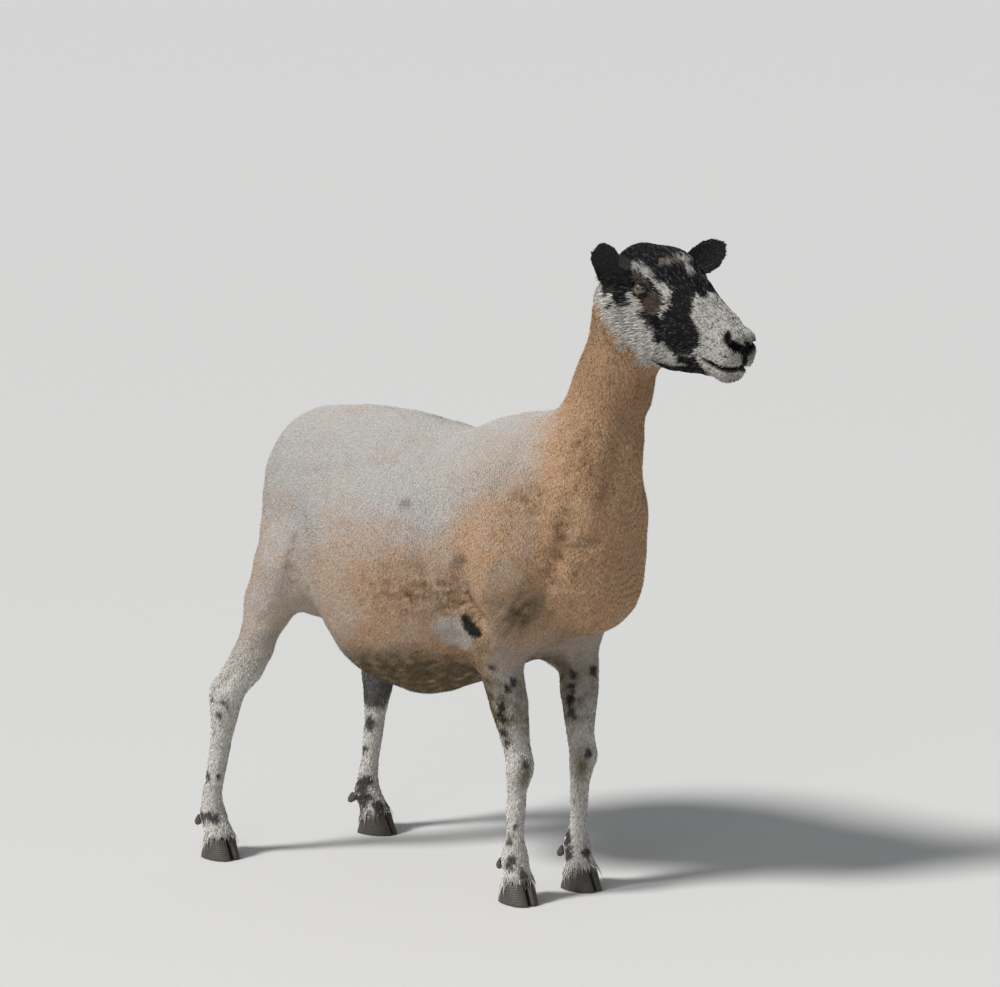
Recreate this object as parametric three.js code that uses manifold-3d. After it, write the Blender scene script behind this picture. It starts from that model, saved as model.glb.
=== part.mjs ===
// A freshly shorn mule ewe, life size, standing alert with her head raised.
//
// Frame: millimetres, +X towards the sheep's head, +Y to her left, +Z up, soles on Z = 0.
// The body is one smooth implicit form, the sum of a barrel, a neck, a head and four limbs
// that melt into each other. Each named piece is the part of that form on its own side of
// a thin plane cut. Eyes, ears, tail and hoof claws are closed shapes of their own.
import * as THREE from "three";
import { mergeVertices } from "three/addons/utils/BufferGeometryUtils.js";
import Module from "manifold-3d";

const wasm = await Module();
wasm.setup();

// ---------------------------------------------------------------- driving dimensions
const JOINT_GAP = 0.4; // clear width of every thin cut between two pieces
const ORIGIN = { x: 147.5, y: 0 }; // centre of the whole animal's box, moved to X = Y = 0

const FLEECE = 0xd9c4b0; // shorn wool, warm cream
const FACE = 0x2b2827; // black face hair
const LEG_HAIR = 0xcfcac2; // white leg hair
const HORN = 0x3a332d; // hoof horn
const EYE = 0x6b4a24; // amber iris

// ---------------------------------------------------------------- field building blocks
// A field is a function of (x, y, z): below zero inside, and roughly a distance near zero.
const { min, max, abs, sqrt, hypot, sin, cos, PI } = Math;
const rad = THREE.MathUtils.degToRad;
const clamp01 = (t) => min(1, max(0, t));
const lerp = (a, b, t) => a + (b - a) * t;

// Joins two distances with a fillet about k wide.
function melt(a, b, k) {
  const h = max(k - abs(a - b), 0) / k;
  return min(a, b) - (h * h * k) / 4;
}

// All the fields melted together with one fillet width.
const blend = (k, ...fields) => (x, y, z) =>
  fields.reduce((d, field) => melt(d, field(x, y, z), k), Infinity);

// The first field with the second carved out of it, with a soft edge.
const carve = (k, body, tool) => (x, y, z) =>
  -melt(-body(x, y, z), tool(x, y, z), k);

// A tapered rod from a to b. flat narrows it along Y: 0.8 is 80% as wide as it is deep.
function rod(a, b, ra, rb, flat = 1) {
  const [ax, ay, az] = a;
  const dx = b[0] - ax;
  const dy = b[1] - ay;
  const dz = b[2] - az;
  const length2 = dx * dx + dy * dy + dz * dz;
  return (x, y, z) => {
    const t = clamp01(((x - ax) * dx + (y - ay) * dy + (z - az) * dz) / length2);
    const side = (y - ay - t * dy) / flat;
    return hypot(x - ax - t * dx, side, z - az - t * dz) - lerp(ra, rb, t);
  };
}

// Rods along a list of [x, y, z, radius] points.
function limb(points, k, flat = 1) {
  const rods = points
    .slice(1)
    .map((b, i) => rod(points[i], b, points[i][3], b[3], flat));
  return blend(k, ...rods);
}

// An ellipsoid. pitch turns it in the side view, nose down for a positive angle.
function egg(centre, radii, pitch = 0) {
  const c = cos(rad(pitch));
  const s = sin(rad(pitch));
  const [a, b, h] = radii;
  return (x, y, z) => {
    const px = x - centre[0];
    const pz = z - centre[2];
    const u = (px * c - pz * s) / a;
    const v = (y - centre[1]) / b;
    const w = (px * s + pz * c) / h;
    const k0 = hypot(u, v, w);
    return (k0 * (k0 - 1)) / max(hypot(u / a, v / b, w / h), 1e-6);
  };
}

// A column of a station table as a smooth function of the station's place.
function column(rows, key) {
  const at = rows.map((r) => r.at);
  const value = rows.map((r) => r[key]);
  const slope = value.map((_, i) => {
    const before = max(i - 1, 0);
    const after = min(i + 1, value.length - 1);
    return (value[after] - value[before]) / (at[after] - at[before]);
  });
  return (p) => {
    let i = 0;
    while (i < at.length - 2 && p > at[i + 1]) i++;
    const step = at[i + 1] - at[i];
    const t = clamp01((p - at[i]) / step);
    const t2 = t * t;
    const t3 = t2 * t;
    return (
      (2 * t3 - 3 * t2 + 1) * value[i] +
      (t3 - 2 * t2 + t) * step * slope[i] +
      (3 * t2 - 2 * t3) * value[i + 1] +
      (t3 - t2) * step * slope[i + 1]
    );
  };
}

// A body of oval sections along X. Each station gives the section's top, bottom, half
// width and the height at which it is widest. tail and nose are the lengths of its two
// round ends, and squareness is the oval's power: 2 is an ellipse.
function barrel(rows, { tail, nose, squareness }) {
  const top = column(rows, "top");
  const bottom = column(rows, "bottom");
  const half = column(rows, "half");
  const widest = column(rows, "widest");
  const first = rows[0].at;
  const last = rows[rows.length - 1].at;
  const n = squareness;
  return (x, y, z) => {
    const p = min(last, max(first, x));
    const middle = widest(p);
    const w = half(p);
    const h = z > middle ? top(p) - middle : middle - bottom(p);
    const past = x > last ? (x - last) / nose : (first - x) / tail;
    const q =
      (abs(y / w) ** n + abs((z - middle) / h) ** n + max(0, past) ** n) ** (1 / n);
    return (q - 1) * min(w, h);
  };
}

// ---------------------------------------------------------------- trunk
const TRUNK_STATIONS = [
  { at: -182, top: 763, bottom: 446, half: 121, widest: 590 },
  { at: -130, top: 767, bottom: 386, half: 150, widest: 556 },
  { at: -60, top: 765, bottom: 321, half: 184, widest: 525 },
  { at: 15, top: 756, bottom: 305, half: 192, widest: 510 },
  { at: 100, top: 744, bottom: 318, half: 180, widest: 520 },
  { at: 180, top: 758, bottom: 352, half: 154, widest: 545 },
  { at: 250, top: 778, bottom: 385, half: 130, widest: 565 },
  { at: 320, top: 758, bottom: 428, half: 110, widest: 580 },
];
const trunkField = barrel(TRUNK_STATIONS, { tail: 127, nose: 106, squareness: 2.25 });
const WITHERS = egg([235, 0, 735], [95, 46, 48]);
const BRISKET = egg([344, 0, 512], [78, 66, 72], 25);
const UDDER = blend(
  22,
  egg([-194, 30, 430], [38, 31, 34]),
  egg([-194, -30, 430], [38, 31, 34]),
);

// ---------------------------------------------------------------- limbs
// Every limb stands on the middle of its sole. side is 1 for the sheep's left and -1 for
// her right, turn is the foot's heading in degrees to her left, and back is how far the
// fetlock stands behind the sole's middle.
const SOLE = {
  front_right: { x: 257, y: -68, side: -1, turn: -18, back: 12 },
  front_left: { x: 281, y: 65, side: 1, turn: -8, back: 12 },
  hind_right: { x: -316, y: -148, side: -1, turn: -10, back: 22 },
  hind_left: { x: -228, y: 150, side: 1, turn: 4, back: 22 },
};
const FETLOCK = 70; // height of the fetlock joint
const CORONET = { height: 31, rise: 16 }; // middle of the hoof's top edge, and its slope

// The place a distance ahead of a foot's middle, along its heading.
const ahead = ({ x, y, turn }, distance, z) => [
  x + distance * cos(rad(turn)),
  y + distance * sin(rad(turn)),
  z,
];

// Fetlock and pastern.
function footField(sole) {
  const { back } = sole;
  return blend(
    8,
    egg(ahead(sole, -back - 3, FETLOCK - 3), [22, 22, 19]),
    limb(
      [
        [...ahead(sole, -back, FETLOCK), 20],
        [...ahead(sole, -4, CORONET.height + 4), 24],
        [...ahead(sole, -1, CORONET.height - 8), 25],
      ],
      8,
      1.04,
    ),
  );
}

// A limb is its field, and the middle line that its rings are drawn around.
function frontLimb(sole) {
  const { x, y, side, back } = sole;
  const fetlock = ahead(sole, -back, FETLOCK + 6);
  const middle = [
    [x - 22, side * 82, 380],
    [x - 16, side * 76, 330],
    [x - 5, y, 250],
    [x - 1, y, 222],
    [x - 4, y, 200],
    [x - 7, y, 150],
    [x - 9, y, 100],
    fetlock,
    ahead(sole, -1, CORONET.height),
  ];
  const field = blend(
    12,
    egg([x - 40, side * 104, 560], [88, 46, 150], -14),
    limb(
      [
        [x - 20, side * 92, 500, 62],
        [x - 32, side * 94, 430, 50],
        [...middle[1], 35],
        [...middle[2], 24],
      ],
      10,
      0.86,
    ),
    egg([x + 2, y, 222], [25, 23, 30]),
    limb([[...middle[4], 19], [...middle[5], 15], [...middle[6], 15], [...fetlock, 19]], 8),
    footField(sole),
  );
  return { field, middle };
}

// The hind limb's thigh hangs at thighX and its hock stands at hockX, so it can reach back.
function hindLimb(sole, thighX, hockX) {
  const { x, y, side, back } = sole;
  const between = (t) => lerp(thighX, hockX, t);
  const fetlock = ahead(sole, -back, FETLOCK + 6);
  const middle = [
    [between(0.37), side * 122, 420],
    [between(0.45), side * 132, 368],
    [between(0.6), side * 142, 330],
    [between(0.86), y, 296],
    [hockX + 2, y, 262],
    [hockX - 2, y, 232],
    [lerp(hockX, x - back, 0.5), y, 160],
    [x - back + 1, y, 104],
    fetlock,
    ahead(sole, -3, CORONET.height),
  ];
  const field = blend(
    14,
    egg([thighX + 28, side * 78, 560], [92, 48, 148], 8),
    limb(
      [
        [thighX, side * 100, 500, 73],
        [between(0.37), side * 115, 425, 47],
        [...middle[1], 35],
        [...middle[2], 33],
        [...middle[3], 29],
        [...middle[4], 28],
      ],
      12,
      0.8,
    ),
    egg([hockX - 20, y, 282], [15, 12, 20], -20),
    limb(
      [
        [...middle[4], 24],
        [...middle[5], 22],
        [...middle[6], 18],
        [...middle[7], 17],
        [...fetlock, 20],
      ],
      8,
      0.88,
    ),
    footField(sole),
  );
  return { field, middle };
}

const LIMBS = {
  front_right: frontLimb(SOLE.front_right),
  front_left: frontLimb(SOLE.front_left),
  hind_right: hindLimb(SOLE.hind_right, -200, -306),
  hind_left: hindLimb(SOLE.hind_left, -172, -228),
};

// ---------------------------------------------------------------- neck
const neckField = blend(
  30,
  rod([318, 0, 640], [354, 0, 730], 114, 84, 0.84),
  rod([354, 0, 730], [388, 0, 830], 80, 64, 0.86),
  rod([388, 0, 830], [421, -2, 945], 64, 58, 0.86),
  rod([421, -2, 945], [447, -4, 985], 58, 55, 0.86),
);

// ---------------------------------------------------------------- head
// The head has its own frame: f forwards along the face, l to its left, u up from the
// face line, with its origin midway between the eyes.
const HEAD = { x: 497, y: -4, z: 985, yaw: -10, pitch: 27, tilt: 0 };
const headFrame = new THREE.Matrix4().compose(
  new THREE.Vector3(HEAD.x, HEAD.y, HEAD.z),
  new THREE.Quaternion().setFromEuler(
    new THREE.Euler(rad(HEAD.tilt), rad(HEAD.pitch), rad(HEAD.yaw), "ZYX"),
  ),
  new THREE.Vector3(1, 1, 1),
);
const headInverse = headFrame.clone().invert();
const HEAD_STATIONS = [
  { at: -66, top: 34, bottom: -82, half: 48, widest: -22 },
  { at: -38, top: 53, bottom: -98, half: 55, widest: -10 },
  { at: -6, top: 59, bottom: -110, half: 56, widest: -6 },
  { at: 32, top: 49, bottom: -113, half: 52, widest: -8 },
  { at: 70, top: 41, bottom: -104, half: 45, widest: -12 },
  { at: 110, top: 36, bottom: -84, half: 38, widest: -14 },
  { at: 145, top: 31, bottom: -68, half: 33, widest: -18 },
  { at: 168, top: 25, bottom: -60, half: 32, widest: -20 },
];
const EYE_PLACE = { f: -10, l: 48, u: -3, radius: 14.5 };
const skull = barrel(HEAD_STATIONS, { tail: 30, nose: 22, squareness: 2.25 });
const pair = (field) => (f, l, u) => field(f, abs(l), u);
const headShape = carve(
  4,
  blend(
    14,
    skull,
    pair(egg([-10, 42, 21], [34, 21, 11])), // brow over the eye
    pair(egg([4, 42, -27], [46, 18, 11])), // cheekbone under it
    pair(egg([56, 33, -52], [46, 15, 34], 12)), // cheek muscle
    egg([169, 0, -41], [18, 22, 15]), // chin
    pair(egg([167, 15, 3], [18, 15, 18])), // wing of the nostril
  ),
  blend(
    0.1,
    pair(egg([186, 17, 8], [12, 5, 8], 20)), // nostril
    pair(egg([EYE_PLACE.f, 66, EYE_PLACE.u], [15, 9, 9], 12)), // eye opening
  ),
);
const point = new THREE.Vector3();
function headField(x, y, z) {
  point.set(x, y, z).applyMatrix4(headInverse);
  return headShape(point.x, point.y, point.z);
}

// ---------------------------------------------------------------- the whole body
const limbFields = Object.values(LIMBS).map((limbOf) => limbOf.field);
const bodyField = blend(
  34,
  blend(30, trunkField, WITHERS, BRISKET, UDDER, ...limbFields),
  neckField,
  headField,
);

// ---------------------------------------------------------------- surfaces
// Places from a to b whose spacing grows evenly from the first step to the last one.
function ruler(a, b, firstStep, lastStep = firstStep) {
  const count = max(2, Math.round((b - a) / ((firstStep + lastStep) / 2)));
  return Array.from({ length: count + 1 }, (_, i) => {
    const t = i / count;
    const eased = t + ((lastStep - firstStep) / (lastStep + firstStep)) * (t * t - t);
    return lerp(a, b, eased);
  });
}

// A place near a field's surface moved onto it along the slope, by no more than a limit.
function ontoSurface(field, [x, y, z], limit) {
  const e = 0.5;
  const here = field(x, y, z);
  const gx = (field(x + e, y, z) - field(x - e, y, z)) / (2 * e);
  const gy = (field(x, y + e, z) - field(x, y - e, z)) / (2 * e);
  const gz = (field(x, y, z + e) - field(x, y, z - e)) / (2 * e);
  const slope = hypot(gx, gy, gz);
  const move = min(limit, max(-limit, -here / max(slope, 0.2))) / max(slope, 0.2);
  return [x + gx * move, y + gy * move, z + gz * move];
}

// The zero surface of a field by surface nets, on a grid of three rulers.
function surfaceNet(field, [xs, ys, zs]) {
  const [nx, ny, nz] = [xs.length, ys.length, zs.length];
  const at = (i, j, k) => (k * ny + j) * nx + i;
  const value = new Float64Array(nx * ny * nz).fill(1); // the rim counts as outside
  for (let k = 1; k < nz - 1; k++)
    for (let j = 1; j < ny - 1; j++)
      for (let i = 1; i < nx - 1; i++)
        value[at(i, j, k)] = field(xs[i], ys[j], zs[k]);
  const corners = [0, 1, 2, 3, 4, 5, 6, 7].map((c) => [c & 1, (c >> 1) & 1, c >> 2]);
  const edges = [];
  for (let a = 0; a < 8; a++)
    for (const bit of [1, 2, 4]) if (!(a & bit)) edges.push([a, a | bit]);
  const vertexOf = new Map();
  const positions = [];
  for (let k = 0; k < nz - 1; k++)
    for (let j = 0; j < ny - 1; j++)
      for (let i = 0; i < nx - 1; i++) {
        const v = corners.map(([a, b, c]) => value[at(i + a, j + b, k + c)]);
        let crossings = 0;
        const sum = [0, 0, 0];
        for (const [a, b] of edges) {
          if (v[a] < 0 === v[b] < 0) continue;
          const t = v[a] / (v[a] - v[b]);
          const place = [0, 1, 2].map((d) => lerp(corners[a][d], corners[b][d], t));
          place.forEach((q, d) => (sum[d] += q));
          crossings++;
        }
        if (!crossings) continue;
        const q = sum.map((s) => s / crossings);
        vertexOf.set(at(i, j, k), positions.length / 3);
        const place = [
          lerp(xs[i], xs[i + 1], q[0]),
          lerp(ys[j], ys[j + 1], q[1]),
          lerp(zs[k], zs[k + 1], q[2]),
        ];
        positions.push(...ontoSurface(field, place, (xs[i + 1] - xs[i]) / 3));
      }
  const apart = (a, b) =>
    hypot(...[0, 1, 2].map((d) => positions[3 * a + d] - positions[3 * b + d]));
  const index = [];
  const step = [1, nx, nx * ny];
  for (let k = 0; k < nz - 1; k++)
    for (let j = 0; j < ny - 1; j++)
      for (let i = 0; i < nx - 1; i++)
        for (let d = 0; d < 3; d++) {
          const here = at(i, j, k);
          const inside = value[here] < 0;
          if (inside === value[here + step[d]] < 0) continue;
          const u = step[(d + 1) % 3];
          const w = step[(d + 2) % 3];
          const quad = [here, here - u, here - u - w, here - w].map((c) =>
            vertexOf.get(c),
          );
          if (inside) quad.reverse();
          if (apart(quad[0], quad[2]) > apart(quad[1], quad[3])) quad.push(quad.shift());
          index.push(quad[0], quad[2], quad[1], quad[0], quad[3], quad[2]);
        }
  return mesh(positions, index);
}

function mesh(positions, index) {
  const geometry = new THREE.BufferGeometry();
  geometry.setAttribute("position", new THREE.Float32BufferAttribute(positions, 3));
  geometry.setIndex(index);
  return geometry;
}

// A closed skin over rings of points. All rings have the same number of points and run
// anticlockwise seen from the last ring.
function loft(rings) {
  const n = rings[0].length;
  const positions = rings.flat().flatMap((p) => [p.x, p.y, p.z]);
  const index = [];
  for (let r = 0; r < rings.length - 1; r++)
    for (let i = 0; i < n; i++) {
      const a = r * n + i;
      const b = r * n + ((i + 1) % n);
      index.push(a, b, b + n, a, b + n, a + n);
    }
  const addCap = (ring, flip) => {
    const centre = new THREE.Vector3();
    rings[ring].forEach((p) => centre.addScaledVector(p, 1 / n));
    const hub = positions.length / 3;
    positions.push(centre.x, centre.y, centre.z);
    for (let i = 0; i < n; i++) {
      const a = ring * n + i;
      const b = ring * n + ((i + 1) % n);
      index.push(hub, flip ? b : a, flip ? a : b);
    }
  };
  addCap(0, true);
  addCap(rings.length - 1, false);
  return mesh(positions, index);
}

// Distance from a start point, inside the field, to its surface in a direction.
function reach(field, start, direction, most) {
  let near = 0;
  let far = 4;
  const at = (t) =>
    field(
      start.x + direction.x * t,
      start.y + direction.y * t,
      start.z + direction.z * t,
    );
  while (at(far) < 0 && far < most) {
    near = far;
    far += 4;
  }
  for (let i = 0; i < 18; i++) {
    const middle = (near + far) / 2;
    if (at(middle) < 0) near = middle;
    else far = middle;
  }
  return (near + far) / 2;
}

// A loft whose rings are found by looking outwards from a spine to a field's surface.
// Each spine row is { x, y, z, lean, turn }: the ring's centre, how far its plane tips,
// in degrees, with the front edge up for a positive lean, and where its front edge heads.
function castLoft(field, spine, sides, most) {
  const rings = spine.map((s) => {
    const heading = rad(s.turn ?? 0);
    const front = new THREE.Vector3(
      cos(rad(s.lean)) * cos(heading),
      cos(rad(s.lean)) * sin(heading),
      sin(rad(s.lean)),
    );
    const left = new THREE.Vector3(-sin(heading), cos(heading), 0);
    const centre = new THREE.Vector3(s.x, s.y, s.z);
    return Array.from({ length: sides }, (_, i) => {
      const angle = ((i + 0.5) / sides) * 2 * PI;
      const direction = front
        .clone()
        .multiplyScalar(cos(angle))
        .addScaledVector(left, sin(angle));
      return centre
        .clone()
        .addScaledVector(direction, reach(field, centre, direction, most));
    });
  });
  return loft(rings);
}

// ---------------------------------------------------------------- solids and cuts
function solid(geometry) {
  const bare = geometry.index ? geometry.toNonIndexed() : geometry.clone();
  bare.deleteAttribute("normal");
  bare.deleteAttribute("uv");
  const merged = mergeVertices(bare, 1e-3);
  return new wasm.Manifold(
    new wasm.Mesh({
      numProp: 3,
      vertProperties: merged.attributes.position.array,
      triVerts: new Uint32Array(merged.index.array),
    }),
  );
}

// The solid's surface, without the slivers that cuts leave.
function geometryOf(manifold) {
  const { numProp, numVert, vertProperties, triVerts } = manifold.getMesh();
  const positions = [];
  for (let i = 0; i < numVert; i++)
    positions.push(...vertProperties.subarray(i * numProp, i * numProp + 3));
  const merged = mergeVertices(mesh(positions, Array.from(triVerts)), 0.02);
  const corners = merged.index.array;
  const index = [];
  for (let i = 0; i < corners.length; i += 3) {
    const [a, b, c] = corners.slice(i, i + 3);
    if (a !== b && b !== c && c !== a) index.push(a, b, c);
  }
  return mesh(Array.from(merged.attributes.position.array), index);
}

// A big block that fills the side of a plane its normal points to.
const BLOCK = 1600;
function halfSpace({ point, normal }) {
  const up = new THREE.Vector3(0, 0, 1);
  const block = new THREE.BoxGeometry(BLOCK, BLOCK, BLOCK);
  block.translate(0, 0, (BLOCK + JOINT_GAP) / 2);
  block.applyQuaternion(new THREE.Quaternion().setFromUnitVectors(up, normal));
  block.translate(point.x, point.y, point.z);
  return solid(block);
}

const planeAt = (point, normal) => ({
  point: new THREE.Vector3(...point),
  normal: new THREE.Vector3(...normal).normalize(),
});
const facingBack = ({ point, normal }) => ({ point, normal: normal.clone().negate() });

// The shape with its surface moved outwards by a little.
function grownBy(gap, shape) {
  const { numProp, numVert, vertProperties, triVerts } = shape.getMesh();
  const positions = [];
  for (let v = 0; v < numVert; v++)
    positions.push(...vertProperties.subarray(v * numProp, v * numProp + 3));
  const skin = mergeVertices(mesh(positions, Array.from(triVerts)), 1e-4);
  skin.computeVertexNormals();
  const { position, normal } = skin.attributes;
  for (let v = 0; v < position.count; v++)
    position.setXYZ(
      v,
      position.getX(v) + gap * normal.getX(v),
      position.getY(v) + gap * normal.getY(v),
      position.getZ(v) + gap * normal.getZ(v),
    );
  return solid(skin);
}

// A closed shape, less what it would share with its neighbour and the gap round that.
function fittedTo(neighbour, shape) {
  const left = shape.subtract(grownBy(1.2 * JOINT_GAP, neighbour)).decompose();
  return left.reduce((a, b) => (a.volume() > b.volume() ? a : b));
}

// ---------------------------------------------------------------- the body's pieces
const sheep = new THREE.Group();
sheep.position.set(-ORIGIN.x, -ORIGIN.y, 0);

function add(name, shape, color, roughness = 0.9) {
  const material = new THREE.MeshStandardMaterial({ color, roughness, metalness: 0 });
  const piece = new THREE.Mesh(geometryOf(shape), material);
  piece.name = name;
  sheep.add(piece);
}

// The neck and head begin at these planes. Their normals point up the neck.
const NECK_CUT = planeAt([367, 0, 728], [0.749, 0, 0.663]);
const HEAD_CUT = planeAt([480, 0, 856], [0.725, 0, 0.689]);

// Each leg begins in a box-shaped space below the trunk, given by its top, its inner side
// and its reach behind and ahead of the limb's own top.
const LEG_SPACE = {
  front: { top: 374, inner: 26, behind: 64, ahead: 66 },
  hind: { top: 404, inner: 62, behind: 140, ahead: 82 },
};
function legSpace(name) {
  const { top, inner, behind, ahead } = LEG_SPACE[name.split("_")[0]];
  const { side } = SOLE[name];
  const [x] = LIMBS[name].middle[0];
  return (grow, roof = top + grow) => {
    const size = [behind + ahead + 2 * grow, 240, roof + 100];
    const centre = [
      x + (ahead - behind) / 2,
      side * (inner - grow + size[1] / 2),
      roof - size[2] / 2,
    ];
    return { size, centre };
  };
}

function boxSolid({ size, centre }) {
  return solid(new THREE.BoxGeometry(...size).translate(...centre));
}

const boxField = ({ size, centre }) => (x, y, z) =>
  max(
    abs(x - centre[0]) - size[0] / 2,
    abs(y - centre[1]) - size[1] / 2,
    abs(z - centre[2]) - size[2] / 2,
  );

function makeTrunk() {
  const step = 35;
  const grid = [ruler(-370, 480, step), ruler(-232, 232, step), ruler(282, 840, step)];
  const whole = solid(surfaceNet(bodyField, grid));
  return Object.keys(SOLE).reduce(
    (body, name) => body.subtract(boxSolid(legSpace(name)(JOINT_GAP / 2))),
    whole.intersect(halfSpace(facingBack(NECK_CUT))),
  );
}

function makeNeck() {
  const rings = 9;
  const from = { x: 367, z: 728, lean: -48.5 };
  const to = { x: 422, z: 917, lean: -46.5 };
  const inset = JOINT_GAP / 2;
  const spine = Array.from({ length: rings }, (_, i) => {
    const t = i / (rings - 1);
    const end = i === 0 ? inset : i === rings - 1 ? -inset : 0;
    return {
      x: lerp(from.x, to.x, t) + end * NECK_CUT.normal.x,
      y: 0,
      z: lerp(from.z, to.z, t) + end * NECK_CUT.normal.z,
      lean: lerp(from.lean, to.lean, t),
    };
  });
  return solid(castLoft(bodyField, spine, 22, 220));
}

function makeHead() {
  const grid = [ruler(-122, 214, 14.5, 10), ruler(-86, 86, 11.8), ruler(-150, 84, 11.8)];
  const inHeadFrame = (f, l, u) => {
    point.set(f, l, u).applyMatrix4(headFrame);
    return bodyField(point.x, point.y, point.z);
  };
  const net = surfaceNet(inHeadFrame, grid).applyMatrix4(headFrame);
  return solid(net).intersect(halfSpace(HEAD_CUT));
}

function eyeball(side, grow = 0) {
  const { f, l, u, radius } = EYE_PLACE;
  const ball = new THREE.SphereGeometry(radius + grow, 14, 8);
  ball.rotateX((side * PI) / 2);
  ball.translate(f, side * l, u);
  return solid(ball.applyMatrix4(headFrame));
}

// An ear is a cupped leaf. Its rows give the place along it, the half width, the depth
// of the cup and the thickness of the leaf.
const EAR_ROWS = [
  { at: -0.14, half: 10, cup: 10, thick: 8 },
  { at: 0.02, half: 14, cup: 14, thick: 7 },
  { at: 0.16, half: 18.5, cup: 14, thick: 6 },
  { at: 0.34, half: 21.5, cup: 12, thick: 5.4 },
  { at: 0.52, half: 22.5, cup: 9.5, thick: 5 },
  { at: 0.7, half: 21.5, cup: 7, thick: 4.6 },
  { at: 0.85, half: 17, cup: 4.5, thick: 4.2 },
  { at: 0.95, half: 9.5, cup: 2.5, thick: 3.6 },
  { at: 1, half: 4, cup: 1, thick: 2.6 },
];
const EARS = {
  ear_right: { base: [-72, -53, -27], reach: [12, -60, 80], opening: [0.8, -0.6, 0] },
  ear_left: { base: [-59, 55, -29], reach: [16, 86, 80], opening: [1, -0.8, 0.7] },
};
function makeEar({ base, reach: length, opening }) {
  const along = new THREE.Vector3(...length);
  const axis = along.clone().normalize();
  const face = new THREE.Vector3(...opening).projectOnPlane(axis).normalize();
  const across = new THREE.Vector3().crossVectors(axis, face);
  const start = new THREE.Vector3(...base);
  const corners = 7;
  const rings = EAR_ROWS.map(({ at, half, cup, thick }) => {
    const centre = start.clone().addScaledVector(along, at);
    const arc = (from, to, width, depth) =>
      Array.from({ length: corners }, (_, i) => {
        const angle = lerp(from, to, i / (corners - 1));
        return centre
          .clone()
          .addScaledVector(across, width * sin(angle))
          .addScaledVector(face, depth * (1 - cos(angle)) - cup / 2);
      });
    const rim = PI * 0.46;
    const back = arc(-rim, rim, half, cup);
    const front = arc(rim * 0.96, -rim * 0.96, half - thick * 0.45, cup - thick * 0.2);
    front.forEach((p, i) => {
      const inward = sin(((i + 0.5) / corners) * PI);
      p.addScaledVector(face, thick * (0.35 + 0.65 * inward));
    });
    return [...back, ...front].reverse();
  });
  return loft(rings).applyMatrix4(headFrame);
}

// The docked tail hangs against the rump: its middle line with the half width and depth.
const TAIL_ROWS = [
  { x: -258, z: 712, wide: 17, deep: 15, lean: -50 },
  { x: -289, z: 688, wide: 20, deep: 16, lean: -30 },
  { x: -309, z: 656, wide: 21, deep: 15, lean: -14 },
  { x: -319, z: 620, wide: 20, deep: 13, lean: -4 },
  { x: -322, z: 588, wide: 17, deep: 11, lean: 0 },
  { x: -322, z: 567, wide: 12, deep: 8, lean: 2 },
  { x: -321, z: 556, wide: 5, deep: 3, lean: 4 },
];
function makeTail() {
  const sides = 8;
  const rings = TAIL_ROWS.map(({ x, z, wide, deep, lean }) =>
    Array.from({ length: sides }, (_, i) => {
      const angle = (-(i + 0.5) / sides) * 2 * PI;
      const front = deep * cos(angle);
      return new THREE.Vector3(
        x + front * cos(rad(lean)),
        wide * sin(angle),
        z + front * sin(rad(lean)),
      );
    }),
  );
  return solid(loft(rings));
}

// Heights of a leg's rings, from its top edge to the hoof.
const LEG_RINGS = {
  front: [374, 352, 328, 304, 280, 260, 243, 230, 214, 199, 178, 148, 118, 96, 80, 68, 56, 44],
  hind: [404, 378, 354, 332, 314, 298, 284, 268, 250, 232, 204, 170, 136, 106, 86, 71, 57, 44],
};
function makeLeg(name) {
  const { middle } = LIMBS[name];
  const { turn } = SOLE[name];
  const inside = boxField(legSpace(name)(-JOINT_GAP / 2, 500));
  const field = (x, y, z) => max(bodyField(x, y, z), inside(x, y, z));
  const placeAt = (z) => {
    let i = 0;
    while (i < middle.length - 2 && z < middle[i + 1][2]) i++;
    const [a, b] = [middle[i], middle[i + 1]];
    const t = (a[2] - z) / (a[2] - b[2]);
    return { x: lerp(a[0], b[0], t), y: lerp(a[1], b[1], t), z };
  };
  const heights = LEG_RINGS[name.split("_")[0]];
  const spine = heights.map((z, i) => {
    const low = clamp01((90 - z) / 50);
    const ring = placeAt(i === 0 ? z - JOINT_GAP / 2 : z);
    return { ...ring, lean: CORONET.rise * low, turn: turn * low };
  });
  spine.push({ ...placeAt(CORONET.height), lean: CORONET.rise, turn });
  return solid(castLoft(field, spine.reverse(), 14, 200));
}

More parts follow.
